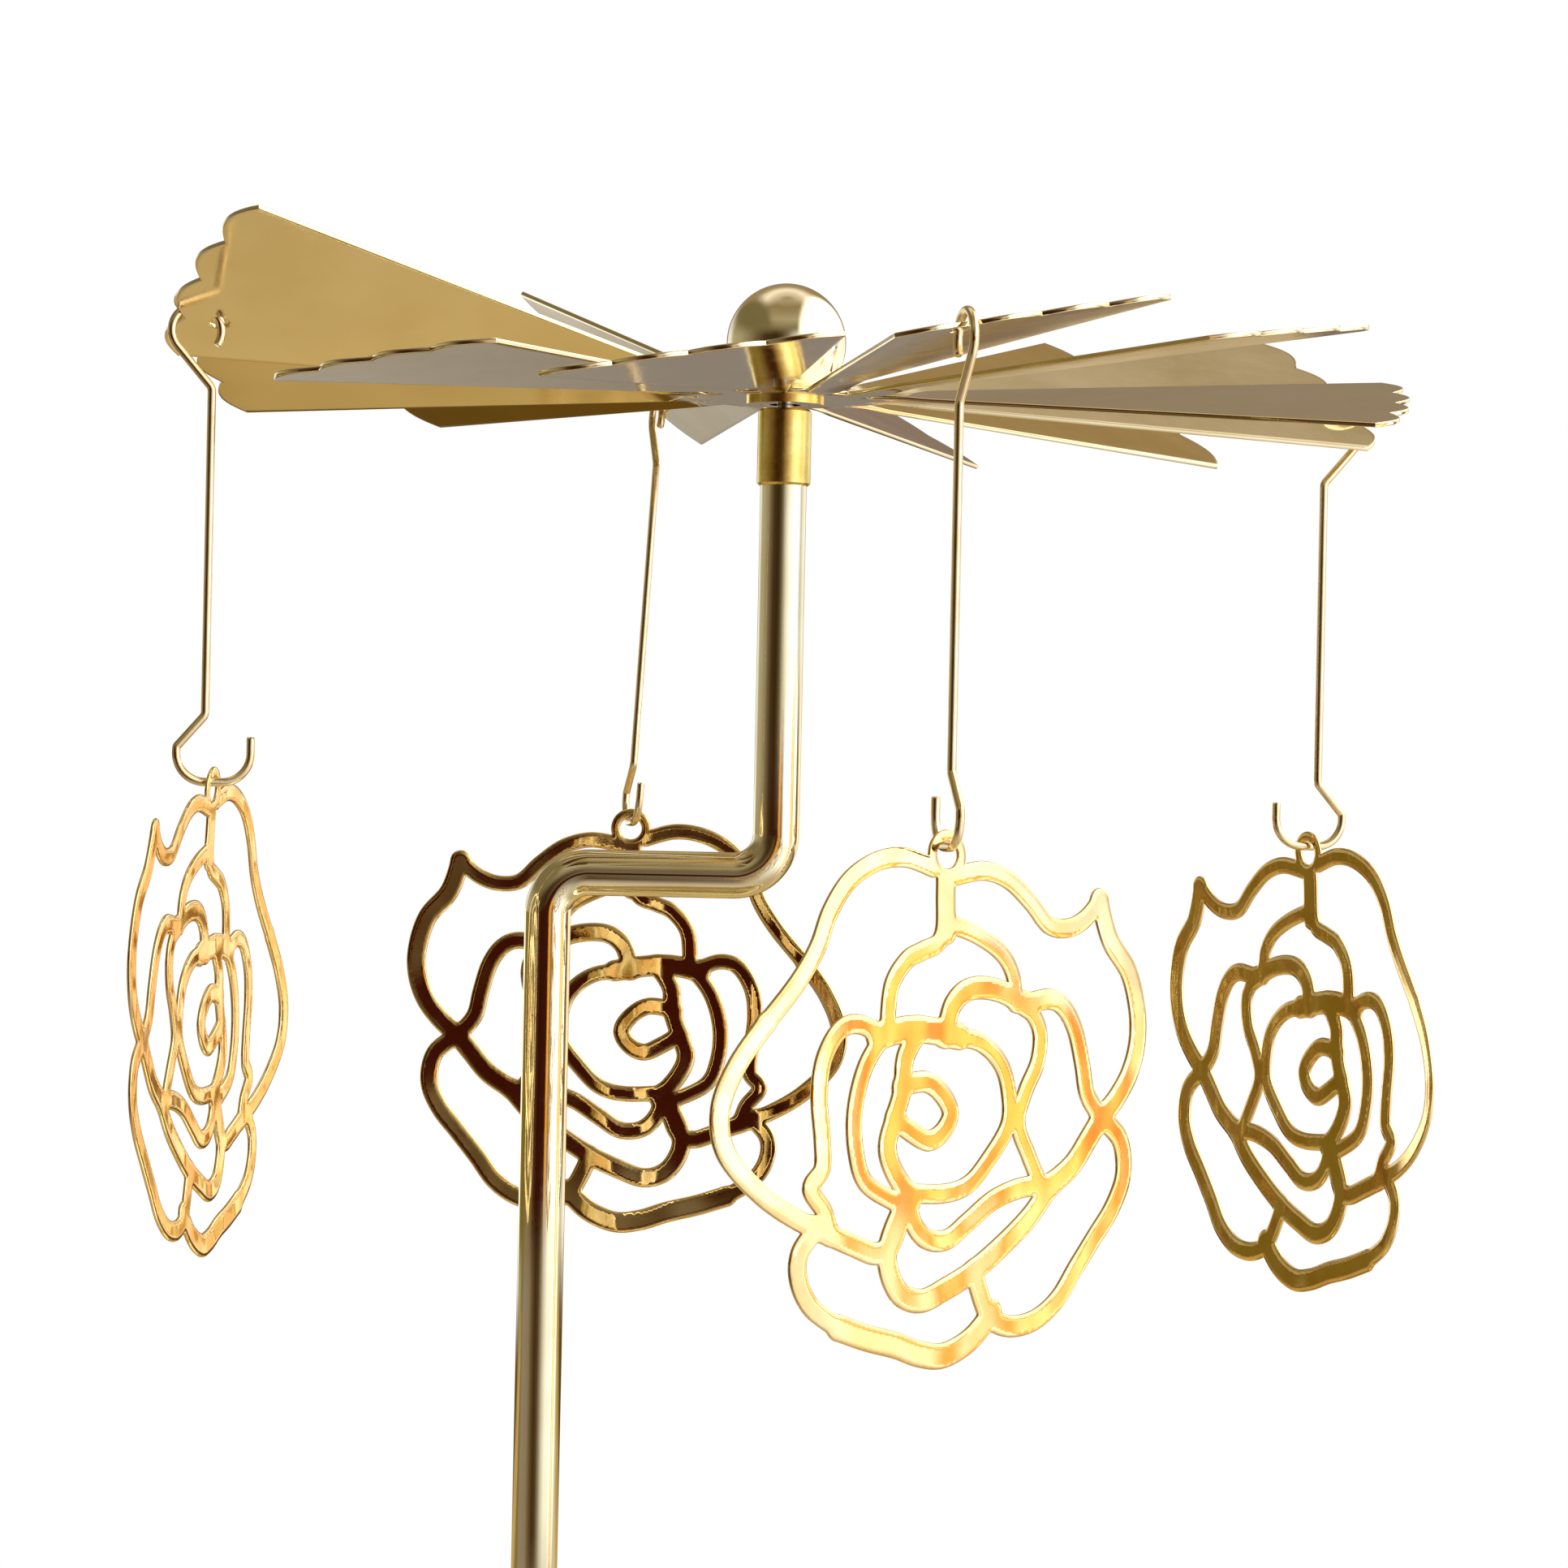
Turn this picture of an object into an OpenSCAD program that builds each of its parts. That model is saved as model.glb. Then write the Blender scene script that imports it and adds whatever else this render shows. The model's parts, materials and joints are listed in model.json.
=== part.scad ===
// Rotating candle holder: a tealight on a dish turns a bladed rotor that stands on a needle,
// and four filigree roses hang from the rotor on wire hooks.
// Frame: +Z up, and the Z axis is the rotor's and the cup's. The origin is where a tealight stands.

/* [Dish] */
// Outer diameter of the dish
tray_d = 100; // [96:1:120]
// Height of the dish's turned-up rim above the underside of its floor
tray_rim_h = 6; // [4:0.5:8]
// Thickness of the dish's sheet
tray_t = 1; // [0.8:0.1:1.5]
// Diameter of the bead round the rim
tray_bead_d = 2; // [1.6:0.1:3]
// Height of the rubber feet
foot_h = 4.2; // [4.2:0.1:7]
// Diameter of the rubber feet
foot_d = 12; // [8:0.5:15]
// Diameter of the circle on which the feet stand
foot_circle_d = 72; // [66:1:74]
// How many feet there are
foot_count = 4; // [3:1:6]

/* [Tealight cup] */
// Diameter of the tealight that the cup takes
tealight_d = 38.4; // [37:0.1:38.8]
// Play round the tealight, at each side
tealight_play = 0.4; // [0.2:0.1:0.6]
// Height of the cup
cup_h = 9; // [6:0.5:14]
// Thickness of the cup's wall and floor
cup_t = 0.5; // [0.4:0.1:0.8]
// Diameter of the bead round the cup's lip
cup_bead_d = 1; // [0.9:0.1:1.2]
// Diameter of the rivet that holds the cup
rivet_d = 3; // [2:0.1:4]
// Height of the rivet's head under the dish
rivet_head_h = 0.7; // [0.5:0.1:1]

/* [Stem] */
// Diameter of the stem's rod
stem_d = 5; // [4:0.1:5.4]
// Distance from the rotor's axis to the lower leg of the stem
stem_offset = 24.5; // [24.2:0.1:30]
// Height of the stem's level stretch above the ground, at its centre line
jog_h = 101.8; // [90:0.1:112]
// Radius of the stem's bends, at the centre line
stem_bend_r = 4.5; // [3:0.1:8]
// Diameter of the threaded spigot at the stem's foot
spigot_d = 4; // [3:0.1:4]
// Thickness of the two washers that clamp the dish
washer_t = 0.5; // [0.4:0.1:0.8]
// Outer diameter of the washers
washer_d = 8; // [7:0.1:8.4]
// Height of the nut
nut_h = 2.2; // [1.8:0.1:2.3]
// Width of the nut across its flats
nut_across = 7; // [6.5:0.1:8]

/* [Bearing] */
// Wall of the brass sleeve on the stem's top
sleeve_wall = 0.4; // [0.3:0.1:1]
// How far the sleeve reaches below the rotor's plane
sleeve_reach = 9.5; // [7:0.5:14]
// Thickness of the sleeve's closed top
sleeve_cap_t = 1.5; // [1:0.1:2]
// Diameter of the needle that carries the rotor
needle_d = 1.8; // [1.2:0.1:2]
// Length of the needle inside the stem
needle_seat_l = 3.5; // [2:0.5:5]
// Length of the needle's point
needle_point_l = 3.2; // [2:0.1:4]

/* [Hub] */
// Height of the rotor's plane above the ground
hub_h = 153.5; // [145:0.5:165]
// Diameter of the round knob on the rotor
knob_d = 12.9; // [12:0.1:15]
// Height of the knob's centre above the rotor's plane
knob_rise = 5.9; // [5.4:0.1:6.2]
// Diameter of the knob's hollow spigot
knob_spigot_d = 5.2; // [4.6:0.1:6]
// Diameter of the bore round the needle
knob_bore_d = 3.4; // [2.8:0.1:3.6]
// Outer diameter of the ring that clamps the rotor from below
clamp_ring_d = 8.4; // [7.6:0.1:10]
// Thickness of the clamping ring
clamp_ring_t = 0.5; // [0.4:0.1:0.6]

/* [Rotor] */
// Radius of the rotor at the crests of its scalloped tips
rotor_r = 66.8; // [60:0.2:70]
// Thickness of the rotor's sheet
sheet_t = 0.5; // [0.4:0.05:0.6]
// Width of the slits between the blades
slit_w = 2.4; // [1.6:0.1:2.6]
// Depth of the notches between the scallops of a tip
scallop_depth = 1.6; // [0.8:0.1:1.8]
// Scallops on each blade's tip
scallops = 4; // [4:1:6]
// Radius of the flat middle of the rotor
hub_disc_r = 9.5; // [9:0.5:11]
// Radius at which a blade has its full pitch
neck_end_r = 15; // [14:0.5:18]
// Turn of the first blade about the axis
first_blade_turn = 22; // [0:1:29]

/* [Hanger wires] */
// Diameter of the wire
wire_d = 0.9; // [0.8:0.05:0.95]
// Radius of the eye that hooks over the rotor, at the wire's centre line
eye_r = 2.6; // [2.6:0.05:2.8]
// Height of the blade above the centre of the eye
eye_drop = 1.1; // [0.9:0.05:1.2]
// Width of the rim that is left between the hook's hole and the blade's edge
hook_rim_w = 2.4; // [2:0.1:2.6]
// Distance from the hook's hole down to the centre of the rose's ring
hang_l = 49; // [44:0.5:54]
// Turn of the eye's free end, from the outside over the top
eye_end_turn = 215; // [190:1:230]
// How far the shank hangs inside the centre of the eye
shank_inset = 1.7; // [1:0.1:2.2]
// Slope of the wire where it leaves the eye and enters the lower hook
kink_slope = 49; // [42:1:50]
// Width of the lower hook, at the wire's centre line
hook_w = 7.8; // [7.2:0.1:9]
// Height of the lower hook, at the wire's centre line
hook_h = 7; // [7:0.1:8]
// How far the lower hook bulges outside the shank
hook_bulge = 2.95; // [2.6:0.05:3]
// Radius of the lower hook's rounded bottom
hook_r = 3; // [2.6:0.1:3.2]
// Height of the hook's free end above its bottom
hook_tip_h = 4.8; // [4.2:0.1:6]

/* [Roses] */
// Width of a rose
rose_w = 53; // [44:0.5:56]
// Distance from the centre of a rose's ring down to its lowest petal
rose_drop = 49; // [42:0.5:52]
// Thickness of a rose's sheet
rose_t = 0.5; // [0.4:0.05:0.7]
// Width of the thin bands of a rose
band_w = 1.8; // [1.4:0.1:2]
// Outer diameter of a rose's ring
ring_d = 4.8; // [4.4:0.1:5.4]
// Diameter of the hole in a rose's ring
ring_hole_d = 2.6; // [2.4:0.1:2.8]

/* [Hidden] */
$fn = 64;
cut_overrun = 0.5;      // how far a cutting shape runs past the face that it cuts
seat_gap = 0.05;        // radial gap of parts that are pressed, riveted or screwed together
run_gap = 0.1;          // gap between parts that move on each other
sleeve_air = 0.5;       // air between the clamping ring and the sleeve's top
bend_overlap = 0.05;    // how far a straight run reaches into the bends at its ends
bend_slim = 0.01;       // how much lower the skin of a bend lies than that of a straight run

// Heights, from the top of the cup's floor downwards.
tray_top_z = -cup_t;
tray_low_z = tray_top_z - tray_t;
ground_z = tray_low_z - foot_h;
jog_z = ground_z + jog_h;
hub_z = ground_z + hub_h;

// Cup and the stem's foot.
cup_in_r = tealight_d / 2 + tealight_play;
cup_out_r = cup_in_r + cup_t;
rivet_head_d = rivet_d * 2;
rivet_sunk_d = rivet_d + cup_t * 2;      // its sunk end, flush with the cup's floor
stem_foot_z = tray_top_z + washer_t;
nut_low_z = tray_low_z - washer_t - nut_h;
spigot_end_z = nut_low_z - washer_t / 4;

// Bearing, from the rotor's plane downwards. The plane is the middle of the sheet.
ring_low_z = hub_z - sheet_t / 2 - clamp_ring_t;
sleeve_top_z = ring_low_z - sleeve_air;
sleeve_low_z = hub_z - sleeve_reach;
stem_top_z = sleeve_top_z - sleeve_cap_t;
knob_z = hub_z + knob_rise;
knob_low_z = hub_z + sheet_t / 2;
needle_tip_d = needle_d / 6;
dimple_z = knob_z + knob_d / 5;
needle_top_z = dimple_z - run_gap;
bore_top_z = dimple_z - knob_bore_d / 2;

// Blades. The pitches and rises are those of a rotor that was bent by hand, one for each blade.
blade_pitches = [28, 32, 30, 36, 24, 22, 27, 4, 7, 11, 8, 13];
blade_rises = [-4, -4, -3, -0.5, 0, -1, 2, -3, -4, 0, 2, -4];
blade_count = len(blade_pitches);
blade_step = 360 / blade_count;
notch_r = rotor_r - scallop_depth;
slit_half = slit_w / 2;
tip_inset = 1.1;         // how much further in than the slit's edge the corners of a tip lie
tip_start = asin((slit_half + tip_inset) / notch_r);
tip_sweep = blade_step - tip_start * 2;
tip_points = 6;          // points along each scallop
neck_rings = 4;          // cross-sections along each twisted neck
neck_overlap = hub_disc_r / 8;
neck_thin_share = 0.92;  // the neck's sheet against the blade's, so that it ends inside it
hanger_blades = [0, 3, 6, 9];

// Hook holes. The hook rests on the rim beyond its hole, in the first notch of the tip.
eye_cross = sqrt(eye_r * eye_r - eye_drop * eye_drop);
hole_r_from_axis = notch_r - hook_rim_w / 2 - eye_cross;
hook_hole_r = eye_cross - hook_rim_w / 2;
hole_turn = tip_start + tip_sweep / scallops;

// Lower hook: the lowest stretch of its wire is the seat of the rose's ring.
seat_inset = hook_w / 2 - hook_bulge;
ring_sag = ring_hole_d / 2 - wire_d / 2 - run_gap;
hang_extras = [-0.8, 2.4, 0, 1];   // how much longer each hanger is: right, back, left and front
hang_leans = [0, 3.2, 0, 0];       // lean of each hanger along the rotor's rim, in degrees
kink_r = wire_d * 1.2;   // bends that are no larger than the wire allows

// A rose, seen from the rotor's axis. Each row is a band's width as a share of the thin bands'
// width, then its points as shares of the rose's width and drop, from the centre of its ring.
rose_band_shares = [
  [1.30, [[-0.387, -0.088], [-0.412, -0.165], [-0.460, -0.228], [-0.482, -0.303],
          [-0.482, -0.370], [-0.462, -0.432], [-0.426, -0.483], [-0.387, -0.520]]],
  [1.05, [[-0.387, -0.088], [-0.345, -0.125], [-0.300, -0.142], [-0.250, -0.135],
          [-0.205, -0.090], [-0.150, -0.047], [-0.090, -0.030], [-0.022, -0.040]]],
  [1.05, [[0.035, -0.025], [0.100, -0.006], [0.165, -0.014], [0.228, -0.050], [0.272, -0.110],
          [0.300, -0.180], [0.340, -0.245], [0.402, -0.322]]],
  [1.10, [[0.402, -0.322], [0.455, -0.400], [0.485, -0.482], [0.473, -0.565], [0.410, -0.640],
          [0.335, -0.692], [0.262, -0.722]]],
  [1.20, [[0.300, -0.708], [0.206, -0.748], [0.156, -0.765], [0.119, -0.746], [0.096, -0.680]]],
  [1.05, [[0.150, -0.350], [0.205, -0.325], [0.250, -0.336], [0.283, -0.390], [0.292, -0.460],
          [0.284, -0.540], [0.283, -0.598], [0.306, -0.635], [0.276, -0.680], [0.262, -0.725]]],
  [1.05, [[0.140, -0.335], [0.190, -0.405], [0.213, -0.490], [0.208, -0.570], [0.182, -0.630],
          [0.105, -0.672]]],
  [1.35, [[0.003, -0.030], [0.005, -0.090], [0.004, -0.150]]],
  [1.05, [[0.004, -0.120], [0.022, -0.168], [0.062, -0.186], [0.100, -0.205], [0.134, -0.255],
          [0.142, -0.340]]],
  [1.00, [[0.006, -0.130], [-0.070, -0.155], [-0.130, -0.190], [-0.160, -0.235], [-0.166, -0.290]]],
  [1.25, [[-0.200, -0.298], [-0.125, -0.264], [-0.055, -0.260], [-0.012, -0.291], [0.006, -0.352]]],
  [1.45, [[-0.030, -0.352], [0.035, -0.340], [0.095, -0.336], [0.165, -0.348]]],
  [1.05, [[0.010, -0.350], [-0.075, -0.362], [-0.130, -0.405], [-0.152, -0.465], [-0.150, -0.530],
          [-0.104, -0.596], [-0.058, -0.641], [0.000, -0.656], [0.085, -0.652]]],
  [1.25, [[0.065, -0.335], [0.098, -0.390], [0.103, -0.450], [0.120, -0.505], [0.136, -0.560],
          [0.118, -0.610], [0.075, -0.665]]],
  [1.15, [[0.108, -0.446], [0.050, -0.438], [0.010, -0.462], [-0.012, -0.500], [0.006, -0.536],
          [0.040, -0.552], [0.080, -0.534], [0.122, -0.506]]],
  [1.15, [[-0.387, -0.520], [-0.350, -0.472], [-0.336, -0.410], [-0.318, -0.345], [-0.290, -0.300],
          [-0.252, -0.282], [-0.190, -0.292]]],
  [1.05, [[-0.190, -0.285], [-0.226, -0.340], [-0.222, -0.405], [-0.192, -0.465], [-0.176, -0.525],
          [-0.205, -0.590], [-0.240, -0.655]]],
  [1.35, [[-0.387, -0.520], [-0.355, -0.562], [-0.315, -0.612], [-0.262, -0.650]]],
  [1.15, [[-0.262, -0.650], [-0.190, -0.652], [-0.120, -0.674], [-0.060, -0.714], [-0.010, -0.746],
          [0.040, -0.741], [0.073, -0.705], [0.085, -0.650]]],
  [1.30, [[-0.262, -0.650], [-0.212, -0.710], [-0.145, -0.765], [-0.075, -0.812], [-0.012, -0.842],
          [0.045, -0.862], [0.096, -0.845], [0.126, -0.795], [0.126, -0.740], [0.090, -0.665]]],
  [1.20, [[-0.387, -0.520], [-0.438, -0.565], [-0.450, -0.635], [-0.425, -0.700], [-0.380, -0.760],
          [-0.335, -0.820], [-0.292, -0.880], [-0.235, -0.918], [-0.170, -0.924], [-0.118, -0.895],
          [-0.078, -0.810]]],
  [1.40, [[-0.130, -0.895], [-0.080, -0.945], [-0.018, -0.972], [0.040, -0.966], [0.100, -0.945],
          [0.170, -0.926], [0.235, -0.903]]],
  [1.10, [[0.235, -0.903], [0.295, -0.862], [0.325, -0.810], [0.325, -0.755], [0.285, -0.705]]]];
band_steps = 2;          // straight pieces between two points of a band
joint_share = 1.5;       // diameter of the large joint, against the thin bands' width
horn_share = 1.3;        // diameter of the horn's round tip, against the thin bands' width
rose_yaws = [14, -16, -25, 24];

// Points and turns in the plane of a bent wire or rod.
function heading(a, b) = atan2(b.y - a.y, b.x - a.x);
function turn_at(p, i) = let (t = heading(p[i], p[i + 1]) - heading(p[i - 1], p[i]))
  t > 180 ? t - 360 : t < -180 ? t + 360 : t;
function ray(angle) = [cos(angle), sin(angle)];
function trim(p, radii, i) =
  i == 0 || i == len(p) - 1 ? 0 : radii[i] * tan(abs(turn_at(p, i)) / 2);
function lap(p, i, is_joined) = i > 0 && i < len(p) - 1 || is_joined ? bend_overlap : 0;

// A bend in the XZ plane about a middle point, from one turn over a sweep.
module bend(middle, r, from, sweep, d) {
  translate([middle.x, 0, middle.y]) rotate([90, 0, 0]) rotate([0, 0, from])
    rotate_extrude(angle = sweep) translate([r, 0]) circle(d = d - bend_slim * 2);
}

// A round bar in the XZ plane that runs through corner points, with a bend radius at each.
module bent_bar(p, radii, d, is_joined = false) {
  for (i = [0 : len(p) - 2]) {
    start_l = trim(p, radii, i) - lap(p, i, is_joined);
    end_l = trim(p, radii, i + 1) - lap(p, i + 1, false);
    from = p[i] + ray(heading(p[i], p[i + 1])) * start_l;
    translate([from.x, 0, from.y]) rotate([0, 90 - heading(p[i], p[i + 1]), 0])
      cylinder(d = d, h = norm(p[i + 1] - p[i]) - start_l - end_l);
  }
  for (i = [1 : len(p) - 2]) {
    t = turn_at(p, i);
    into = heading(p[i - 1], p[i]);
    middle = p[i] - ray(into) * trim(p, radii, i) + ray(into + sign(t) * 90) * radii[i];
    bend(middle, radii[i], t > 0 ? into - 90 : into + 90 + t, abs(t), d);
  }
}

module base_tray() {
  color("goldenrod") difference() {
    union() {
      translate([0, 0, tray_low_z]) cylinder(r = tray_d / 2 - tray_rim_h, h = tray_t, $fn = 128);
      rotate_extrude($fn = 128) translate([tray_d / 2 - tray_rim_h, tray_low_z + tray_rim_h])
        intersection() {
          difference() {
            circle(r = tray_rim_h);
            circle(r = tray_rim_h - tray_t);
          }
          translate([0, -tray_rim_h]) square(tray_rim_h);
        }
      translate([0, 0, tray_low_z + tray_rim_h])
        rotate_extrude($fn = 128) translate([(tray_d - tray_t) / 2, 0]) circle(d = tray_bead_d);
    }
    translate([0, 0, tray_low_z - cut_overrun])
      cylinder(d = rivet_d + seat_gap * 2, h = tray_t + cut_overrun * 2);
    translate([-stem_offset, 0, tray_low_z - cut_overrun])
      cylinder(d = spigot_d + seat_gap * 2, h = tray_t + cut_overrun * 2);
  }
}

module foot_pads() {
  color("dimgray") for (i = [0 : foot_count - 1])
    rotate([0, 0, 180 / foot_count + i * 360 / foot_count])
      translate([foot_circle_d / 2, 0, ground_z]) cylinder(d = foot_d, h = foot_h);
}

module tealight_cup() {
  color("gold") difference() {
    translate([0, 0, tray_top_z]) union() {
      cylinder(r = cup_out_r, h = cup_h, $fn = 128);
      translate([0, 0, cup_h]) rotate_extrude($fn = 128)
        translate([cup_in_r + cup_bead_d / 2, 0]) circle(d = cup_bead_d);
    }
    cylinder(r = cup_in_r, h = cup_h + cut_overrun * 2, $fn = 128);
    translate([0, 0, tray_top_z - cut_overrun])
      cylinder(d = rivet_d + seat_gap * 2, h = cup_t + cut_overrun);
    translate([0, 0, tray_top_z])
      cylinder(d1 = rivet_d + seat_gap * 2, d2 = rivet_sunk_d + seat_gap * 2, h = cup_t);
  }
}

module cup_rivet() {
  color("gold") {
    translate([0, 0, tray_low_z - rivet_head_h]) cylinder(d = rivet_head_d, h = rivet_head_h);
    translate([0, 0, tray_low_z - rivet_head_h / 2])
      cylinder(d = rivet_d, h = tray_t + cup_t + rivet_head_h / 2);
    translate([0, 0, tray_top_z]) cylinder(d1 = rivet_d, d2 = rivet_sunk_d, h = cup_t);
  }
}

module stem_rod() {
  path = [[-stem_offset, stem_foot_z], [-stem_offset, jog_z], [0, jog_z], [0, stem_top_z]];
  color("gold") difference() {
    union() {
      bent_bar(path, [0, stem_bend_r, stem_bend_r, 0], stem_d);
      translate([-stem_offset, 0, spigot_end_z])
        cylinder(d = spigot_d, h = stem_foot_z - spigot_end_z + washer_t);
    }
    translate([0, 0, stem_top_z - needle_seat_l])
      cylinder(d = needle_d + seat_gap * 2, h = needle_seat_l + cut_overrun);
  }
}

module washer() {
  difference() {
    cylinder(d = washer_d, h = washer_t);
    translate([0, 0, -cut_overrun]) cylinder(d = spigot_d + seat_gap * 2, h = washer_t + cut_overrun * 2);
  }
}

module stem_washers() {
  color("silver") for (z = [tray_top_z, tray_low_z - washer_t]) translate([-stem_offset, 0, z]) washer();
}

module stem_nut() {
  color("silver") translate([-stem_offset, 0, nut_low_z]) difference() {
    cylinder(d = nut_across / cos(30), h = nut_h, $fn = 6);
    translate([0, 0, -cut_overrun]) cylinder(d = spigot_d + seat_gap * 2, h = nut_h + cut_overrun * 2);
  }
}

module bearing_sleeve() {
  color("darkgoldenrod") difference() {
    translate([0, 0, sleeve_low_z]) cylinder(d = stem_d + sleeve_wall * 2, h = sleeve_top_z - sleeve_low_z);
    translate([0, 0, sleeve_low_z - cut_overrun])
      cylinder(d = stem_d + seat_gap, h = stem_top_z - sleeve_low_z + cut_overrun);
    translate([0, 0, stem_top_z]) cylinder(d = needle_d + seat_gap * 2, h = sleeve_cap_t + cut_overrun);
  }
}

module pivot_needle() {
  shank_low_z = stem_top_z - needle_seat_l;
  point_z = needle_top_z - needle_point_l;
  color("lightgray") {
    translate([0, 0, shank_low_z]) cylinder(d = needle_d, h = point_z - shank_low_z);
    translate([0, 0, point_z]) cylinder(d1 = needle_d, d2 = needle_tip_d, h = needle_point_l);
  }
}

module hub_knob() {
  color("gold") difference() {
    union() {
      intersection() {
        translate([0, 0, knob_z]) sphere(d = knob_d, $fn = 96);
        translate([0, 0, knob_low_z]) cylinder(d = knob_d * 2, h = knob_d * 2);
      }
      translate([0, 0, ring_low_z]) cylinder(d = knob_spigot_d, h = knob_z - ring_low_z);
    }
    translate([0, 0, ring_low_z - cut_overrun]) cylinder(d = knob_bore_d, h = bore_top_z - ring_low_z + cut_overrun);
    translate([0, 0, bore_top_z])
      cylinder(d1 = knob_bore_d, d2 = needle_tip_d + run_gap, h = dimple_z - bore_top_z);
  }
}

module hub_clamp_ring() {
  color("darkgoldenrod") translate([0, 0, ring_low_z]) difference() {
    cylinder(d = clamp_ring_d, h = clamp_ring_t);
    translate([0, 0, -cut_overrun])
      cylinder(d = knob_spigot_d + seat_gap * 2, h = clamp_ring_t + cut_overrun * 2);
  }
}

// A blade's outline, with its low edge along X and its notches on the circle notch_r.
function tip_point(u) = let (
    r = notch_r + scallop_depth * sin(180 * (u * scallops - floor(u * scallops))),
    a = tip_start + tip_sweep * u)
  [r * cos(a), r * sin(a)];
function far_edge(r) = [r * cos(blade_step) + slit_half * sin(blade_step),
                        r * sin(blade_step) - slit_half * cos(blade_step)];
function blade_outline() = concat(
  [[neck_end_r, slit_half]],
  [for (i = [0 : scallops * tip_points]) tip_point(i / (scallops * tip_points))],
  [far_edge(neck_end_r)]);

// Lifts a blade's far edge: turns what is drawn flat about the blade's low edge.
module pitched(angle) {
  translate([0, slit_half, 0]) rotate([angle, 0, 0]) translate([0, -slit_half, 0]) children();
}

// Lifts a blade's tip: turns what is drawn level about a line across the blade at the flat middle's edge.
module risen(angle) {
  translate([hub_disc_r, 0, 0]) rotate([0, -angle, 0]) translate([-hub_disc_r, 0, 0]) children();
}
function risen_point(p, angle) = [hub_disc_r + (p.x - hub_disc_r) * cos(angle) - p.z * sin(angle), p.y,
                                  (p.x - hub_disc_r) * sin(angle) + p.z * cos(angle)];

// The twisted neck between the flat middle and a blade, as a run of four-cornered sections.
module neck(pitch, rise) {
  half = sheet_t * neck_thin_share / 2;
  inset = sheet_t * (1 - neck_thin_share);
  rings = [for (i = [0 : neck_rings - 1]) let (
      u = i / (neck_rings - 1),
      r = hub_disc_r - neck_overlap + u * (neck_end_r + neck_overlap * 2 - hub_disc_r),
      bent = u == 1 ? 1 : u * u * (3 - 2 * u),
      a = pitch * bent,
      reach = norm(far_edge(r) - [r, slit_half]) - inset * 2,
      out = unit(far_edge(r) - [r, slit_half]),
      start = [r, slit_half, 0] + [out.x, out.y * cos(a), out.y * sin(a)] * inset,
      end = start + [out.x, out.y * cos(a), out.y * sin(a)] * reach,
      up = [0, -sin(a), cos(a)] * half)
    each [for (p = [start - up, end - up, end + up, start + up]) risen_point(p, rise * bent)]];
  last = (neck_rings - 1) * 4;
  polyhedron(points = rings, faces = concat(
    [[0, 1, 2], [0, 2, 3], [last, last + 2, last + 1], [last, last + 3, last + 2]],
    [for (i = [0 : neck_rings - 2], k = [0 : 3], half_face = [0, 1]) let (
        a = i * 4 + k, b = i * 4 + (k + 1) % 4)
      half_face == 0 ? [a, a + 4, b + 4] : [a, b + 4, b]]));
}
function unit(v) = v / norm(v);

module rotor_sheet() {
  color("gold") translate([0, 0, hub_z]) {
    difference() {
      translate([0, 0, -sheet_t / 2]) cylinder(r = hub_disc_r, h = sheet_t);
      translate([0, 0, -sheet_t / 2 - cut_overrun])
        cylinder(d = knob_spigot_d + seat_gap * 2, h = sheet_t + cut_overrun * 2);
    }
    for (i = [0 : blade_count - 1]) rotate([0, 0, first_blade_turn + (i - 1 / 2) * blade_step]) {
      risen(blade_rises[i]) pitched(blade_pitches[i]) translate([0, 0, -sheet_t / 2]) difference() {
        linear_extrude(sheet_t) polygon(blade_outline());
        if (len(search(i, hanger_blades)) > 0)
          rotate([0, 0, hole_turn]) translate([hole_r_from_axis, 0, -cut_overrun])
            cylinder(r = hook_hole_r, h = sheet_t + cut_overrun * 2);
      }
      neck(blade_pitches[i], blade_rises[i]);
    }
  }
}

// Where the hook's hole of a hanger lies after its blade was bent: turn, radius and height.
function hole_place(k) = let (
    i = hanger_blades[k],
    flat_y = hole_r_from_axis * sin(hole_turn) - slit_half,
    y = slit_half + flat_y * cos(blade_pitches[i]),
    pitched_point = [hole_r_from_axis * cos(hole_turn), y, flat_y * sin(blade_pitches[i])],
    p = risen_point(pitched_point, blade_rises[i]),
    base = first_blade_turn + (i - 1 / 2) * blade_step)
  [base + atan2(p.y, p.x), norm([p.x, p.y]), hub_z + p.z];
function hanger_turn(k) = hole_place(k)[0];
function eye_place(k) = [hole_place(k)[1] + eye_cross, 0, hole_place(k)[2] - eye_drop];
function seat_rise(k) = eye_drop + ring_sag - hang_l - hang_extras[k];
function seat_place(k) = eye_place(k) + [-shank_inset - seat_inset, -seat_rise(k) * sin(hang_leans[k]),
                                         seat_rise(k) * cos(hang_leans[k])];

// One hanger: an eye round the blade's rim, a straight shank and an open hook.
module hanger_wire(k) {
  fall = tan(kink_slope);
  eye_low = ray(kink_slope - 90) * eye_r;
  shank_top = eye_low.y - (eye_low.x + shank_inset) * fall;
  bulge_x = hook_bulge - shank_inset;
  low = seat_rise(k) + hook_h;
  path = [eye_low, [-shank_inset, shank_top], [-shank_inset, low], [bulge_x, low - hook_bulge * fall],
          [bulge_x, low - hook_h], [bulge_x - hook_w, low - hook_h],
          [bulge_x - hook_w, low - hook_h + hook_tip_h]];
  color("goldenrod") rotate([0, 0, hanger_turn(k)]) translate(eye_place(k)) rotate([hang_leans[k], 0, 0]) {
    bend([0, 0], eye_r, kink_slope - 90, eye_end_turn + 90 - kink_slope, wire_d);
    bent_bar(path, [0, kink_r, kink_r, kink_r / 2, hook_r, hook_r, 0], wire_d, true);
  }
}

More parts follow.
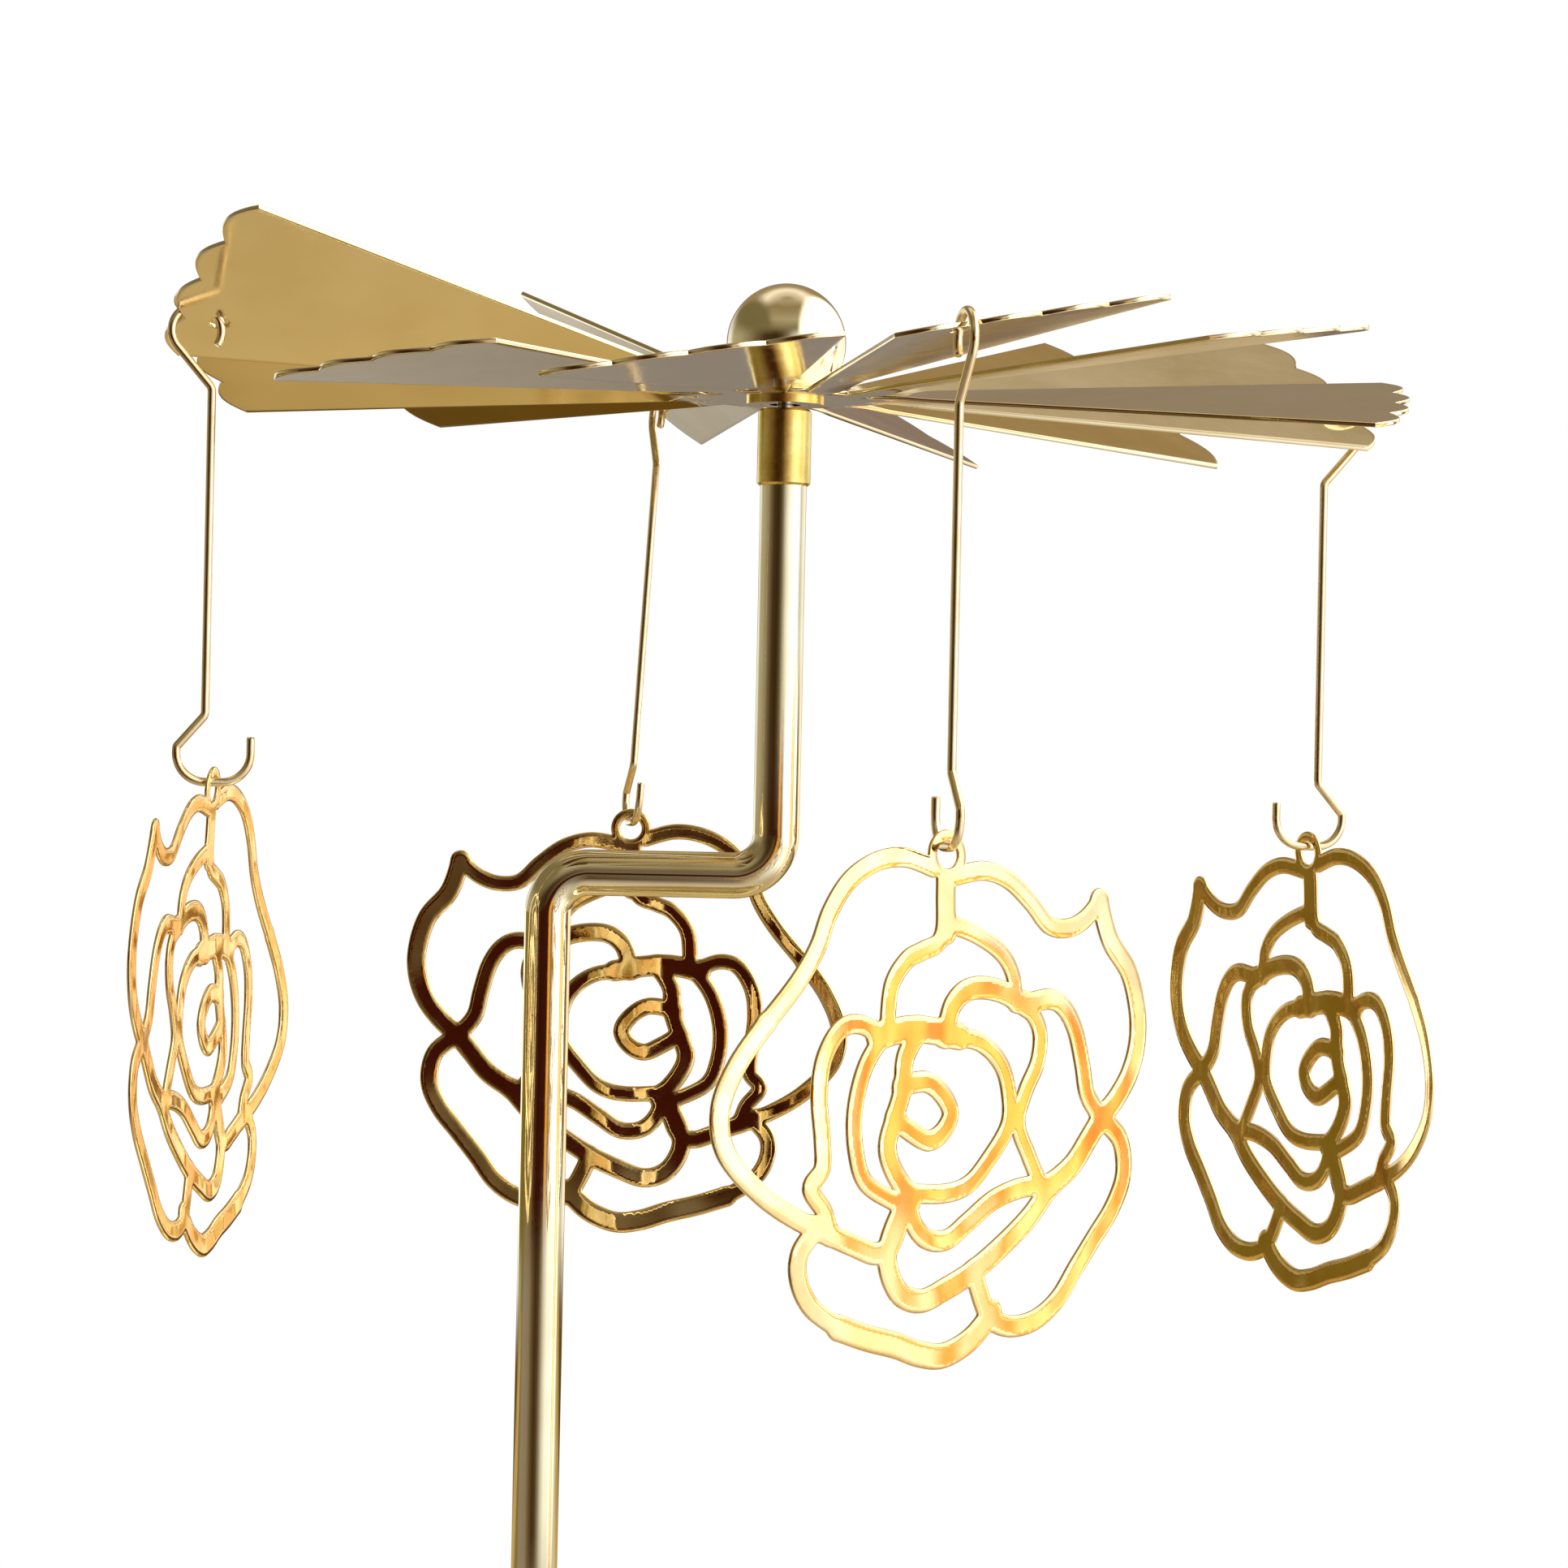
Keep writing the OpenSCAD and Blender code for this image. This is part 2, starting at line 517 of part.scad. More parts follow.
// Rounded run through a band's points.
function between(a, b, c, d, t) = (b * 2 + (c - a) * t + (a * 2 - b * 5 + c * 4 - d) * t * t
  + (b * 3 - a - c * 3 + d) * t * t * t) / 2;
function rounded(p) = let (n = len(p)) concat([for (i = [0 : n - 2], k = [0 : band_steps - 1])
  between(p[max(i - 1, 0)], p[i], p[i + 1], p[min(i + 2, n - 1)], k / band_steps)], [p[n - 1]]);
function across(p, i) = let (d = unit(p[min(i + 1, len(p) - 1)] - p[max(i - 1, 0)])) [-d.y, d.x];
function sized(shares) = [for (s = shares) [s.x * rose_w, s.y * rose_drop]];

module band(shares, w) {
  p = rounded(sized(shares));
  n = len(p);
  polygon(concat([for (i = [0 : n - 1]) p[i] + across(p, i) * w / 2],
                 [for (i = [n - 1 : -1 : 0]) p[i] - across(p, i) * w / 2]));
}

module boss(shares, d) {
  place = sized([shares])[0];
  translate([place.x, place.y, 0]) cylinder(d = d, h = rose_t, $fn = 24);
}

module rose_sheet() {
  difference() {
    union() {
      linear_extrude(rose_t) for (row = rose_band_shares) band(row[1], row[0] * band_w);
      boss(rose_band_shares[0][1][0], horn_share * band_w);
      boss(rose_band_shares[0][1][7], joint_share * band_w);
      cylinder(d = ring_d, h = rose_t);
    }
    translate([0, 0, -cut_overrun]) cylinder(d = ring_hole_d, h = rose_t + cut_overrun * 2);
  }
}

// One rose, hung by its ring on the lowest stretch of its hanger's hook.
module rose_charm(k) {
  color("gold") rotate([0, 0, hanger_turn(k)]) translate(seat_place(k) - [0, 0, ring_sag])
    rotate([0, 0, rose_yaws[k] - 90]) rotate([90, 0, 0]) translate([0, 0, -rose_t / 2]) rose_sheet();
}

module hanger_wire_right() { hanger_wire(0); }
module hanger_wire_back() { hanger_wire(1); }
module hanger_wire_left() { hanger_wire(2); }
module hanger_wire_front() { hanger_wire(3); }
module rose_charm_right() { rose_charm(0); }
module rose_charm_back() { rose_charm(1); }
module rose_charm_left() { rose_charm(2); }
module rose_charm_front() { rose_charm(3); }

base_tray();
foot_pads();
tealight_cup();
cup_rivet();
stem_rod();
stem_washers();
stem_nut();
bearing_sleeve();
pivot_needle();
hub_knob();
hub_clamp_ring();
rotor_sheet();
hanger_wire_right();
hanger_wire_back();
hanger_wire_left();
hanger_wire_front();
rose_charm_right();
rose_charm_back();
rose_charm_left();
rose_charm_front();
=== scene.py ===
# Looks of the rotating candle holder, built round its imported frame. Metres, +Z up, the origin is where
# a tealight stands and the camera looks along +Y.
import json
from math import asin, atan2, cos, degrees, hypot, pi, radians, sin, sqrt, tan

import bpy
import numpy as np
from mathutils import Matrix, Vector


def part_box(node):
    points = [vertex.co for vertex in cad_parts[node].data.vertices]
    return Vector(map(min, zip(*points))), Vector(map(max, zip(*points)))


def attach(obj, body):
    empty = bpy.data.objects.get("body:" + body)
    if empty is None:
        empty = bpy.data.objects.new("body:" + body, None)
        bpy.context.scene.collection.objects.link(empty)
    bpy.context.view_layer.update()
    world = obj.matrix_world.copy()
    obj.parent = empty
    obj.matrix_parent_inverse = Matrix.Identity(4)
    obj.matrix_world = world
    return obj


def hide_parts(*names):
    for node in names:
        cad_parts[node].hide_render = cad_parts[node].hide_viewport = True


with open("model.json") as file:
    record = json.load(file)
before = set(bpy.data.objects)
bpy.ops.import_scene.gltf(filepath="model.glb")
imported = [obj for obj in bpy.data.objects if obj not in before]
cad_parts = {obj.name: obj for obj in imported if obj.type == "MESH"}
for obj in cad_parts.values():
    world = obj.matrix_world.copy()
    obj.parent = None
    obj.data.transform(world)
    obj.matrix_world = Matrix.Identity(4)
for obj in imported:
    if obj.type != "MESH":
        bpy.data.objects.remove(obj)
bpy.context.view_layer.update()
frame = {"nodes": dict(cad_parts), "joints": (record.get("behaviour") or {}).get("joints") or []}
scene = bpy.context.scene
mm = 0.001
sides = ("right", "back", "left", "front")   # the four hangers and their roses
joints = {joint["name"]: joint for joint in frame["joints"]}
print("frame loaded,", len(frame["nodes"]), "nodes")


# Node graphs

def addNode(tree, kind, inputs=None, **fields):
    # A node with its fields set; an input is either a plain value or the socket that feeds it.
    made = tree.nodes.new(kind)
    for field, value in fields.items():
        setattr(made, field, value)
    for key, value in (inputs or {}).items():
        if isinstance(value, bpy.types.NodeSocket):
            tree.links.new(value, made.inputs[key])
        else:
            made.inputs[key].default_value = value
    return made


def math(tree, operation, *values):
    return addNode(tree, "ShaderNodeMath", dict(enumerate(values)), operation=operation).outputs[0]


def spread(tree, value, fromLow, fromHigh, toLow=0.0, toHigh=1.0):
    # Maps a value smoothly from one range to another and holds it there beyond the ends.
    inputs = {"Value": value, "From Min": fromLow, "From Max": fromHigh, "To Min": toLow, "To Max": toHigh}
    return addNode(tree, "ShaderNodeMapRange", inputs, interpolation_type="SMOOTHSTEP").outputs[0]


def noise(tree, place, size, detail, rough):
    inputs = {"Vector": place, "Scale": 1 / size, "Detail": detail, "Roughness": rough}
    return addNode(tree, "ShaderNodeTexNoise", inputs).outputs[0]


def scaled(tree, place, scale):
    return addNode(tree, "ShaderNodeMapping", {"Vector": place, "Scale": scale}).outputs[0]


def ramp(tree, factor, stops):
    # A colour ramp from (place, colour) stops.
    made = addNode(tree, "ShaderNodeValToRGB", {"Fac": factor})
    elements = made.color_ramp.elements
    while len(elements) < len(stops):
        elements.new(0.5)
    for element, (place, colour) in zip(elements, sorted(stops)):
        element.position = place
        element.color = (*colour, 1.0)
    return made.outputs[0]


def newMaterial(name):
    material = bpy.data.materials.new(name)
    material.use_nodes = True
    return material, material.node_tree


def objectPlace(tree):
    return addNode(tree, "ShaderNodeTexCoord").outputs["Object"]


def connect(tree, colour, roughness, height, strength=1.0):
    # Feeds a material's colour, its roughness and the bump of its height in metres.
    bump = addNode(tree, "ShaderNodeBump", {"Height": height, "Distance": 1.0, "Strength": strength})
    shader = tree.nodes["Principled BSDF"]
    for socket, value in (("Base Color", colour), ("Roughness", roughness), ("Normal", bump.outputs[0])):
        tree.links.new(value, shader.inputs[socket])
    return shader


# Metal finishes

finishes = {
    # tones: the darker and the paler tone of the metal; cloud: size of the tone's clouds
    # gloss: roughness where it is polished best and where it is smudged; hairline: depth of the fine
    # scratches; grain: their stretch along X, Y and Z
    # swell: depth and size of a sheet's slow unevenness, which is drawn out along Z
    "palePlate": dict(tones=((0.86, 0.77, 0.52), (0.95, 0.90, 0.69)), cloud=9 * mm, gloss=(0.035, 0.09),
                      hairline=0.003 * mm, grain=(1, 1, 6)),
    "bladePlate": dict(tones=((0.84, 0.73, 0.46), (0.93, 0.84, 0.60)), cloud=12 * mm, gloss=(0.05, 0.12),
                       hairline=0.004 * mm, grain=(2, 1, 1), swell=(0.12 * mm, 18 * mm)),
    "rosePlate": dict(tones=((0.88, 0.60, 0.22), (0.98, 0.80, 0.42)), cloud=6 * mm, gloss=(0.025, 0.07),
                      hairline=0.0015 * mm, grain=(1, 1, 1), swell=(0.42 * mm, 7 * mm)),
    "wirePlate": dict(tones=((0.84, 0.66, 0.36), (0.93, 0.82, 0.56)), cloud=4 * mm, gloss=(0.08, 0.20),
                      hairline=0.010 * mm, grain=(1, 1, 8)),
    "turnedBrass": dict(tones=((0.74, 0.55, 0.14), (0.88, 0.74, 0.28)), cloud=3 * mm, gloss=(0.06, 0.14),
                        hairline=0.008 * mm, grain=(1, 1, 0.05)),
    "plainSteel": dict(tones=((0.42, 0.42, 0.41), (0.62, 0.61, 0.59)), cloud=2 * mm, gloss=(0.20, 0.38),
                       hairline=0.020 * mm, grain=(1, 1, 4)),
}
# What all metals share: clouds, smudges, hairs and swells are (detail, roughness) of their noise, and
# hair is the size of the scratches.
metalNoise = dict(clouds=(5.0, 0.55), toneFrom=0.30, toneTo=0.68, smudges=(6.0, 0.6), smudgesPerCloud=4,
                  smudgeRange=(0.35, 0.72), hair=0.35 * mm, hairs=(4.0, 0.7), drawnOut=(1, 1, 0.35),
                  swells=(1.0, 0.3))


def metal(name):
    # Tone = clouds of noise through a ramp; roughness = finer noise; height = drawn-out hairs + swell.
    finish, size = finishes[name], metalNoise
    material, tree = newMaterial(name)
    place = objectPlace(tree)
    clouds = noise(tree, place, finish["cloud"], *size["clouds"])
    dark, pale = finish["tones"]
    colour = ramp(tree, clouds, [(size["toneFrom"], dark), (size["toneTo"], pale)])
    smudges = noise(tree, place, finish["cloud"] / size["smudgesPerCloud"], *size["smudges"])
    roughness = spread(tree, smudges, *size["smudgeRange"], *finish["gloss"])
    stretched = scaled(tree, place, [1 / s for s in finish["grain"]])
    hairs = noise(tree, stretched, size["hair"], *size["hairs"])
    height = math(tree, "MULTIPLY", hairs, finish["hairline"])
    if "swell" in finish:
        depth, across = finish["swell"]
        slow = noise(tree, scaled(tree, place, size["drawnOut"]), across, *size["swells"])
        height = math(tree, "ADD", height, math(tree, "MULTIPLY", slow, depth))
    connect(tree, colour, roughness, height).inputs["Metallic"].default_value = 1.0
    return material


rubberLook = dict(tones=((0.018, 0.018, 0.018), (0.055, 0.053, 0.050)), toneFrom=0.35, toneTo=0.75,
                  dust=2.5 * mm, dustNoise=(6.0, 0.65), dustRange=(0.3, 0.8), gloss=(0.62, 0.85),
                  pebble=0.3 * mm, pebbleNoise=(3.0, 0.6), pebbleDepth=0.03 * mm, strength=0.8)


def rubber():
    # Matt black moulding: a fine pebbled grain, dustier where the noise is high.
    size = rubberLook
    material, tree = newMaterial("mattRubber")
    place = objectPlace(tree)
    dust = noise(tree, place, size["dust"], *size["dustNoise"])
    pebbles = noise(tree, place, size["pebble"], *size["pebbleNoise"])
    clean, dusty = size["tones"]
    colour = ramp(tree, dust, [(size["toneFrom"], clean), (size["toneTo"], dusty)])
    roughness = spread(tree, dust, *size["dustRange"], *size["gloss"])
    connect(tree, colour, roughness, math(tree, "MULTIPLY", pebbles, size["pebbleDepth"]), size["strength"])
    return material


materials = {name: metal(name) for name in finishes}
materials["mattRubber"] = rubber()
print("materials made:", ", ".join(materials))


# Surfaces

def unit(vectors):
    return vectors / np.maximum(np.linalg.norm(vectors, axis=-1, keepdims=True), 1e-12)


def gridQuads(rows, columns, wrapRows=False, wrapColumns=False):
    # Quads between neighbouring points of a grid; a wrapped side joins its last line to its first.
    row = np.arange(rows if wrapRows else rows - 1)[:, None]
    column = np.arange(columns if wrapColumns else columns - 1)[None, :]
    nextRow, nextColumn = (row + 1) % rows, (column + 1) % columns
    corners = [row * columns + column, row * columns + nextColumn,
               nextRow * columns + nextColumn, nextRow * columns + column]
    return np.stack(corners, -1).reshape(-1, 4)


def skin(rings, start=None, end=None):
    # Joins each ring of points to the next, and closes the run with a fan on each pole that is given.
    # With no pole at either end the last ring joins the first.
    rows, columns = rings.shape[:2]
    points = [rings.reshape(-1, 3)]
    faces = [gridQuads(rows, columns, start is None and end is None, True)]
    around = np.arange(columns)
    onward = (around + 1) % columns
    total = rows * columns
    if start is not None:
        points.append(np.array([start]))
        faces.append(np.stack([np.full(columns, total), onward, around], -1))
        total += 1
    if end is not None:
        points.append(np.array([end]))
        last = (rows - 1) * columns
        faces.append(np.stack([last + around, last + onward, np.full(columns, total)], -1))
    return np.concatenate(points), faces


def lathe(profile, segments):
    # Turns a run of (radius, height) about the axis: x = radius cos a, y = radius sin a.
    # A run that starts or ends on the axis is closed by a pole there, and any other run closes on itself.
    profile = np.array(profile, float)
    onAxis = profile[:, 0] == 0
    angle = np.linspace(0, 2 * pi, segments, endpoint=False)
    turn = np.stack([np.cos(angle), np.sin(angle)], -1)
    body = profile[~onAxis]
    flat = body[:, None, :1] * turn[None]
    rings = np.concatenate([flat, np.broadcast_to(body[:, None, 1:], (len(body), segments, 1))], -1)
    poles = [(0.0, 0.0, height) for height in profile[onAxis, 1]]
    start = poles.pop(0) if onAxis[0] else None
    return skin(rings, start, poles.pop() if onAxis[-1] else None)


def arc(centre, radius, fromTurn, toTurn, steps):
    # Points on a circle's arc in a plane, turns in degrees.
    turn = np.radians(np.linspace(fromTurn, toTurn, steps + 1))
    return np.stack([centre[0] + radius * np.cos(turn), centre[1] + radius * np.sin(turn)], -1)


def rounded(corners, radii, steps):
    # A run through corner points with an arc of the given radius at each, in a plane.
    corners = np.array(corners, float)
    run = [corners[:1]]
    for before, corner, after, radius in zip(corners[:-2], corners[1:-1], corners[2:], radii[1:-1]):
        into, out = unit(corner - before), unit(after - corner)
        bend = atan2(into[0] * out[1] - into[1] * out[0], into @ out)
        if radius == 0 or abs(bend) < 1e-6:
            run.append(corner[None])
            continue
        side = np.array([-into[1], into[0]]) * (1 if bend > 0 else -1)
        middle = corner - into * radius * tan(abs(bend) / 2) + side * radius
        first = degrees(atan2(-side[1], -side[0]))
        run.append(arc(middle, radius, first, first + degrees(bend), steps))
    run.append(corners[-1:])
    return np.concatenate(run)


def openEdges(quads, count):
    # Directed edges that have a face on their left only.
    edges = np.concatenate([quads[:, [k, (k + 1) % 4]] for k in range(4)])
    edges = edges[edges[:, 0] != edges[:, 1]]
    alone = np.isin(edges[:, 0] * count + edges[:, 1], edges[:, 1] * count + edges[:, 0], invert=True)
    return edges[alone]


def faceNormals(points, quads):
    # Cross product of each quad's diagonals, which is twice its area long.
    return np.cross(points[quads[:, 2]] - points[quads[:, 0]], points[quads[:, 3]] - points[quads[:, 1]])


def pointNormals(points, quads):
    # Sum of the normals of the faces round each point, at unit length.
    total, normals = np.zeros_like(points), faceNormals(points, quads)
    for k in range(4):
        np.add.at(total, quads[:, k], normals)
    return unit(total)


def thicken(points, quads, half, wall):
    # Lays a copy of a surface half a thickness to either side, and joins their open edges by a wall.
    # wall lists (how far out, share of the half thickness) from the upper edge to the lower one.
    count = len(points)
    normal = pointNormals(points, quads)
    half = np.broadcast_to(half, count)[:, None]
    edges = openEdges(quads, count)
    outward = np.zeros_like(points)
    away = unit(np.cross(points[edges[:, 1]] - points[edges[:, 0]], normal[edges[:, 0]]))
    np.add.at(outward, edges[:, 0], away)
    np.add.at(outward, edges[:, 1], away)
    rim = edges[:, 0]
    outward = unit(outward[rim])
    place = np.full(count, -1)
    place[rim] = np.arange(len(rim))
    rows = [points[rim] + out * outward + share * half[rim] * normal[rim] for out, share in wall]
    allPoints = np.concatenate([points + half * normal, points - half * normal, *rows])
    fromHere, toThere = place[edges[:, 0]], place[edges[:, 1]]
    levels = [(edges[:, 0], edges[:, 1])]
    for k in range(len(wall)):
        first = 2 * count + k * len(rim)
        levels.append((first + fromHere, first + toThere))
    levels.append((count + edges[:, 0], count + edges[:, 1]))
    walls = [np.stack([up[1], up[0], down[0], down[1]], -1) for up, down in zip(levels, levels[1:])]
    return allPoints, [quads, quads[:, ::-1] + count, *walls]


def signedVolume(points, faces):
    total = 0.0
    for block in faces:
        a = points[block[:, 0]]
        for k in range(1, block.shape[1] - 1):
            total += np.einsum("ij,ij->", a, np.cross(points[block[:, k]], points[block[:, k + 1]]))
    return total / 6


def addPiece(name, surface, body, stoodFor, finish, sharpOver=40):
    # Makes the mesh, turns its faces round if they point inwards, and ties the piece to its body.
    points, faces = surface
    if signedVolume(points, faces) < 0:
        faces = [block[:, ::-1] for block in faces]
    mesh = bpy.data.meshes.new(name)
    mesh.from_pydata(points.tolist(), [], [face for block in faces for face in block.tolist()])
    mesh.validate()
    mesh.shade_smooth()
    mesh.set_sharp_from_angle(angle=radians(sharpOver))
    mesh.materials.append(materials[finish])
    piece = bpy.data.objects.new(name, mesh)
    scene.collection.objects.link(piece)
    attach(piece, body)
    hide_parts(*stoodFor)
    print(name, len(mesh.vertices), "points")


# Stem: one round rod with two bends, a spigot below and the needle's bore on top

stem = dict(rodR=2.5 * mm, bendR=4.5 * mm, spigotR=2.0 * mm, chamfer=0.3 * mm, needleR=0.95 * mm,
            needleDepth=3.5 * mm, bendSteps=16, segments=64)


def makeStem():
    low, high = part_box("stem_rod")
    size = stem
    leg = low.x + size["rodR"]
    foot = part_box("stem_washers")[1].z
    jog = stemJogHeight()
    radii = [0, size["bendR"], size["bendR"], 0]
    run = rounded([(leg, foot), (leg, jog), (0, jog), (0, high.z)], radii, size["bendSteps"])
    c, r, s = size["chamfer"], size["rodR"], size["spigotR"]
    # Each end of the run with its radii: the chamfered spigot below, the chamfer and the bore above.
    below = [(leg, low.z), (leg, low.z + c), (leg, foot), (leg, foot), (leg, foot + c)]
    above = [(0, high.z - c), (0, high.z), (0, high.z), (0, high.z - size["needleDepth"])]
    plane = np.concatenate([below, run[1:-1], above])
    radius = [s - c, s, s, r - c, r] + [r] * (len(run) - 2) + [r, r - c, size["needleR"], size["needleR"]]
    return barInPlane(plane, radius, 0.0, (0.0, 0.0, 0.0), size["segments"])


def stemJogHeight():
    # Height of the level stretch's middle line, from the solid's points halfway along that stretch.
    mesh = frame["nodes"]["stem_rod"].data
    co = np.zeros(len(mesh.vertices) * 3)
    mesh.vertices.foreach_get("co", co)
    co = co.reshape(-1, 3)
    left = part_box("stem_rod")[0].x
    level = co[np.abs(co[:, 0] - left / 2) < abs(left) / 4]
    return (level[:, 2].min() + level[:, 2].max()) / 2


def barInPlane(plane, radius, turn, centre, segments, lean=0.0):
    # A round bar whose run lies in the plane at a turn about the axis: (outwards, up) from a centre. The
    # plane is upright, or leans about its level line. A point that repeats keeps the direction of its
    # neighbour, so that steps in the radius stay square.
    plane = np.array(plane, float)
    ahead = np.array([cos(turn), sin(turn), 0.0])
    side = np.array([-sin(turn), cos(turn), 0.0])
    level = np.array([0.0, 0.0, 1.0])
    run = np.array(centre) + plane[:, :1] * ahead + plane[:, 1:] * (level * cos(lean) - side * sin(lean))
    across = side * cos(lean) + level * sin(lean)
    return steppedBar(run, radius, across, segments)


def latest(held):
    # For each place in a run, the last place up to there where something holds, or else the first at all.
    return np.maximum.accumulate(np.where(held, np.arange(len(held)), np.argmax(held)))


def steppedBar(run, radius, across, segments):
    # Carries a circle along a run of points in a plane: point + radius (cos a inPlane + sin a across).
    # Where the run stands still or steps back, as in a bore, the circle keeps the heading it came with.
    radius = np.array(radius, float)
    step = np.diff(run, axis=0)
    heading = unit(step)[latest(np.linalg.norm(step, axis=1) > 1e-9)]
    back = np.concatenate([[False], (heading[1:] * heading[:-1]).sum(1) < -0.5])
    heading = heading[latest(~np.logical_or.accumulate(back))]
    tangent = unit(np.concatenate([heading[:1], heading[:-1] + heading[1:], heading[-1:]]))
    inPlane = np.cross(across, tangent)
    angle = np.linspace(0, 2 * pi, segments, endpoint=False)[None, :, None]
    circle = np.cos(angle) * inPlane[:, None] + np.sin(angle) * across
    rings = run[:, None] + radius[:, None, None] * circle
    return skin(rings, run[0], run[-1])


addPiece("bent_stem", makeStem(), "base", ["stem_rod"], "palePlate")


# Turned and pressed round pieces

dish = dict(rimR=6 * mm, sheet=1 * mm, beadR=1 * mm, beadSunk=0.8, beadArc=(-55, 235), rimSteps=20,
            beadSteps=24, segments=192)
cup = dict(sheet=0.5 * mm, beadR=0.5 * mm, boreR=19.6 * mm, foldR=0.8 * mm, holeR=1.55 * mm,
           sunkR=2.05 * mm, beadArc=(-55, 180), foldSteps=8, insideSteps=6, beadSteps=20, segments=160)
knob = dict(ballR=6.45 * mm, spigotR=2.6 * mm, boreR=1.7 * mm, tipR=0.2 * mm, dimple=0.4, sheet=0.5 * mm,
            ballSteps=48, segments=128)
sleeve = dict(boreR=2.525 * mm, needleR=0.95 * mm, capT=1.5 * mm, chamfer=0.25 * mm, segments=96)


def makeDish():
    # Flat floor, quarter-round rim of constant thickness and a bead of wire round its lip.
    low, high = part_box("base_tray")
    size = dish
    rimR, sheet, beadR, steps = size["rimR"], size["sheet"], size["beadR"], size["rimSteps"]
    beadMiddle = (high.x - beadR, high.z - beadR)
    centre = (beadMiddle[0] + sheet / 2 - rimR, low.z + rimR)
    # Degrees below the level at which the rim's arc meets the bead.
    meets = degrees(asin(size["beadSunk"] * beadR / (rimR - sheet / 2)))
    outer = arc(centre, rimR, -90, -meets, steps)
    inner = arc(centre, rimR - sheet, -meets, -90, steps)
    bead = arc(beadMiddle, beadR, *size["beadArc"], size["beadSteps"])
    return lathe([(0, low.z), *outer, *bead, *inner, (0, low.z + sheet)], size["segments"])


def makeCup():
    # Thin cup: a flat floor with the rivet's countersunk hole, a folded corner, a wall and a beaded lip.
    low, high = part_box("tealight_cup")
    size = cup
    sheet, beadR, boreR, foldR = size["sheet"], size["beadR"], size["boreR"], size["foldR"]
    corner = (boreR + sheet - foldR, low.z + foldR)
    fold = arc(corner, foldR, -90, 0, size["foldSteps"])
    bead = arc((boreR + beadR, high.z - beadR), beadR, *size["beadArc"], size["beadSteps"])
    inside = arc(corner, foldR - sheet, 0, -90, size["insideSteps"])
    floor = [(size["sunkR"], low.z + sheet), (size["holeR"], low.z)]
    return lathe([*fold, *bead, *inside, *floor], size["segments"])


def makeKnob():
    # Ball cut flat where it sits on the rotor, its spigot below, and the bore that the needle reaches into.
    low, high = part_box("hub_knob")
    size = knob
    ballR, spigotR, boreR = size["ballR"], size["spigotR"], size["boreR"]
    middle = high.z - ballR
    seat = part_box("hub_clamp_ring")[1].z + size["sheet"]
    ball = arc((0, middle), ballR, degrees(asin((seat - middle) / ballR)), 90, size["ballSteps"])
    dimple = middle + ballR * size["dimple"]
    bore = [(0, dimple), (size["tipR"], dimple), (boreR, dimple - boreR), (boreR, low.z)]
    profile = [*bore, (spigotR, low.z), (spigotR, seat), *ball[:-1], (0, high.z)]
    return lathe(profile, size["segments"])


def makeSleeve():
    # Closed brass cap: chamfered outside, bored for the stem from below and for the needle through its top.
    low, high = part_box("bearing_sleeve")
    size = sleeve
    outer, c, boreR, needleR = high.x, size["chamfer"], size["boreR"], size["needleR"]
    ceiling = high.z - size["capT"]
    shell = [(outer - c, low.z), (outer, low.z + c), (outer, high.z - c), (outer - c, high.z)]
    inside = [(needleR, high.z), (needleR, ceiling), (boreR, ceiling), (boreR, low.z)]
    return lathe([*shell, *inside], size["segments"])


addPiece("pressed_dish", makeDish(), "base", ["base_tray"], "palePlate")
addPiece("pressed_cup", makeCup(), "base", ["tealight_cup"], "palePlate")
addPiece("round_knob", makeKnob(), "rotor", ["hub_knob"], "palePlate")
addPiece("turned_sleeve", makeSleeve(), "base", ["bearing_sleeve"], "turnedBrass")


# Rotor: one sheet, a flat middle and twelve blades that were bent by hand

rotor = dict(sheet=0.5 * mm, boreR=2.65 * mm, discR=9.5 * mm, twistEndR=16.2 * mm, notchR=65.2 * mm,
             scallopDepth=1.6 * mm, scallops=4, slitHalf=1.2 * mm, tipInset=1.1 * mm, neckEndR=15 * mm,
             firstTurn=22.0, pitches=[28, 32, 30, 36, 24, 22, 27, 4, 7, 11, 8, 13],
             rises=[-4, -4, -3, -0.5, 0, -1, 2, -3, -4, 0, 2, -4],
             hangerBlades=(0, 3, 6, 9), eyeR=2.6 * mm, eyeDrop=1.1 * mm, hookRim=2.4 * mm, edge=0.09 * mm,
             edgeWall=((0.75, 0.88), (1, 0.6), (1, -0.6), (0.75, -0.88)),
             # Shares along a blade, close together in the twisted neck and at the holes, and across it,
             # close together where the hook's hole is: from, to and how many.
             rows=((0, 0.13, 15), (0.17, 0.84, 7), (0.855, 1, 26)), columns=((0, 1, 49), (0.19, 0.31, 15)),
             gapColumns=10, collar=0.4 * mm, discRings=6)
bladeStep = 2 * pi / len(rotor["pitches"])


def divisions(parts):
    return np.concatenate([np.linspace(*part) for part in parts])


bladeRows = divisions(rotor["rows"])
bladeColumns = np.unique(np.round(divisions(rotor["columns"]), 5))   # in order, and each one once


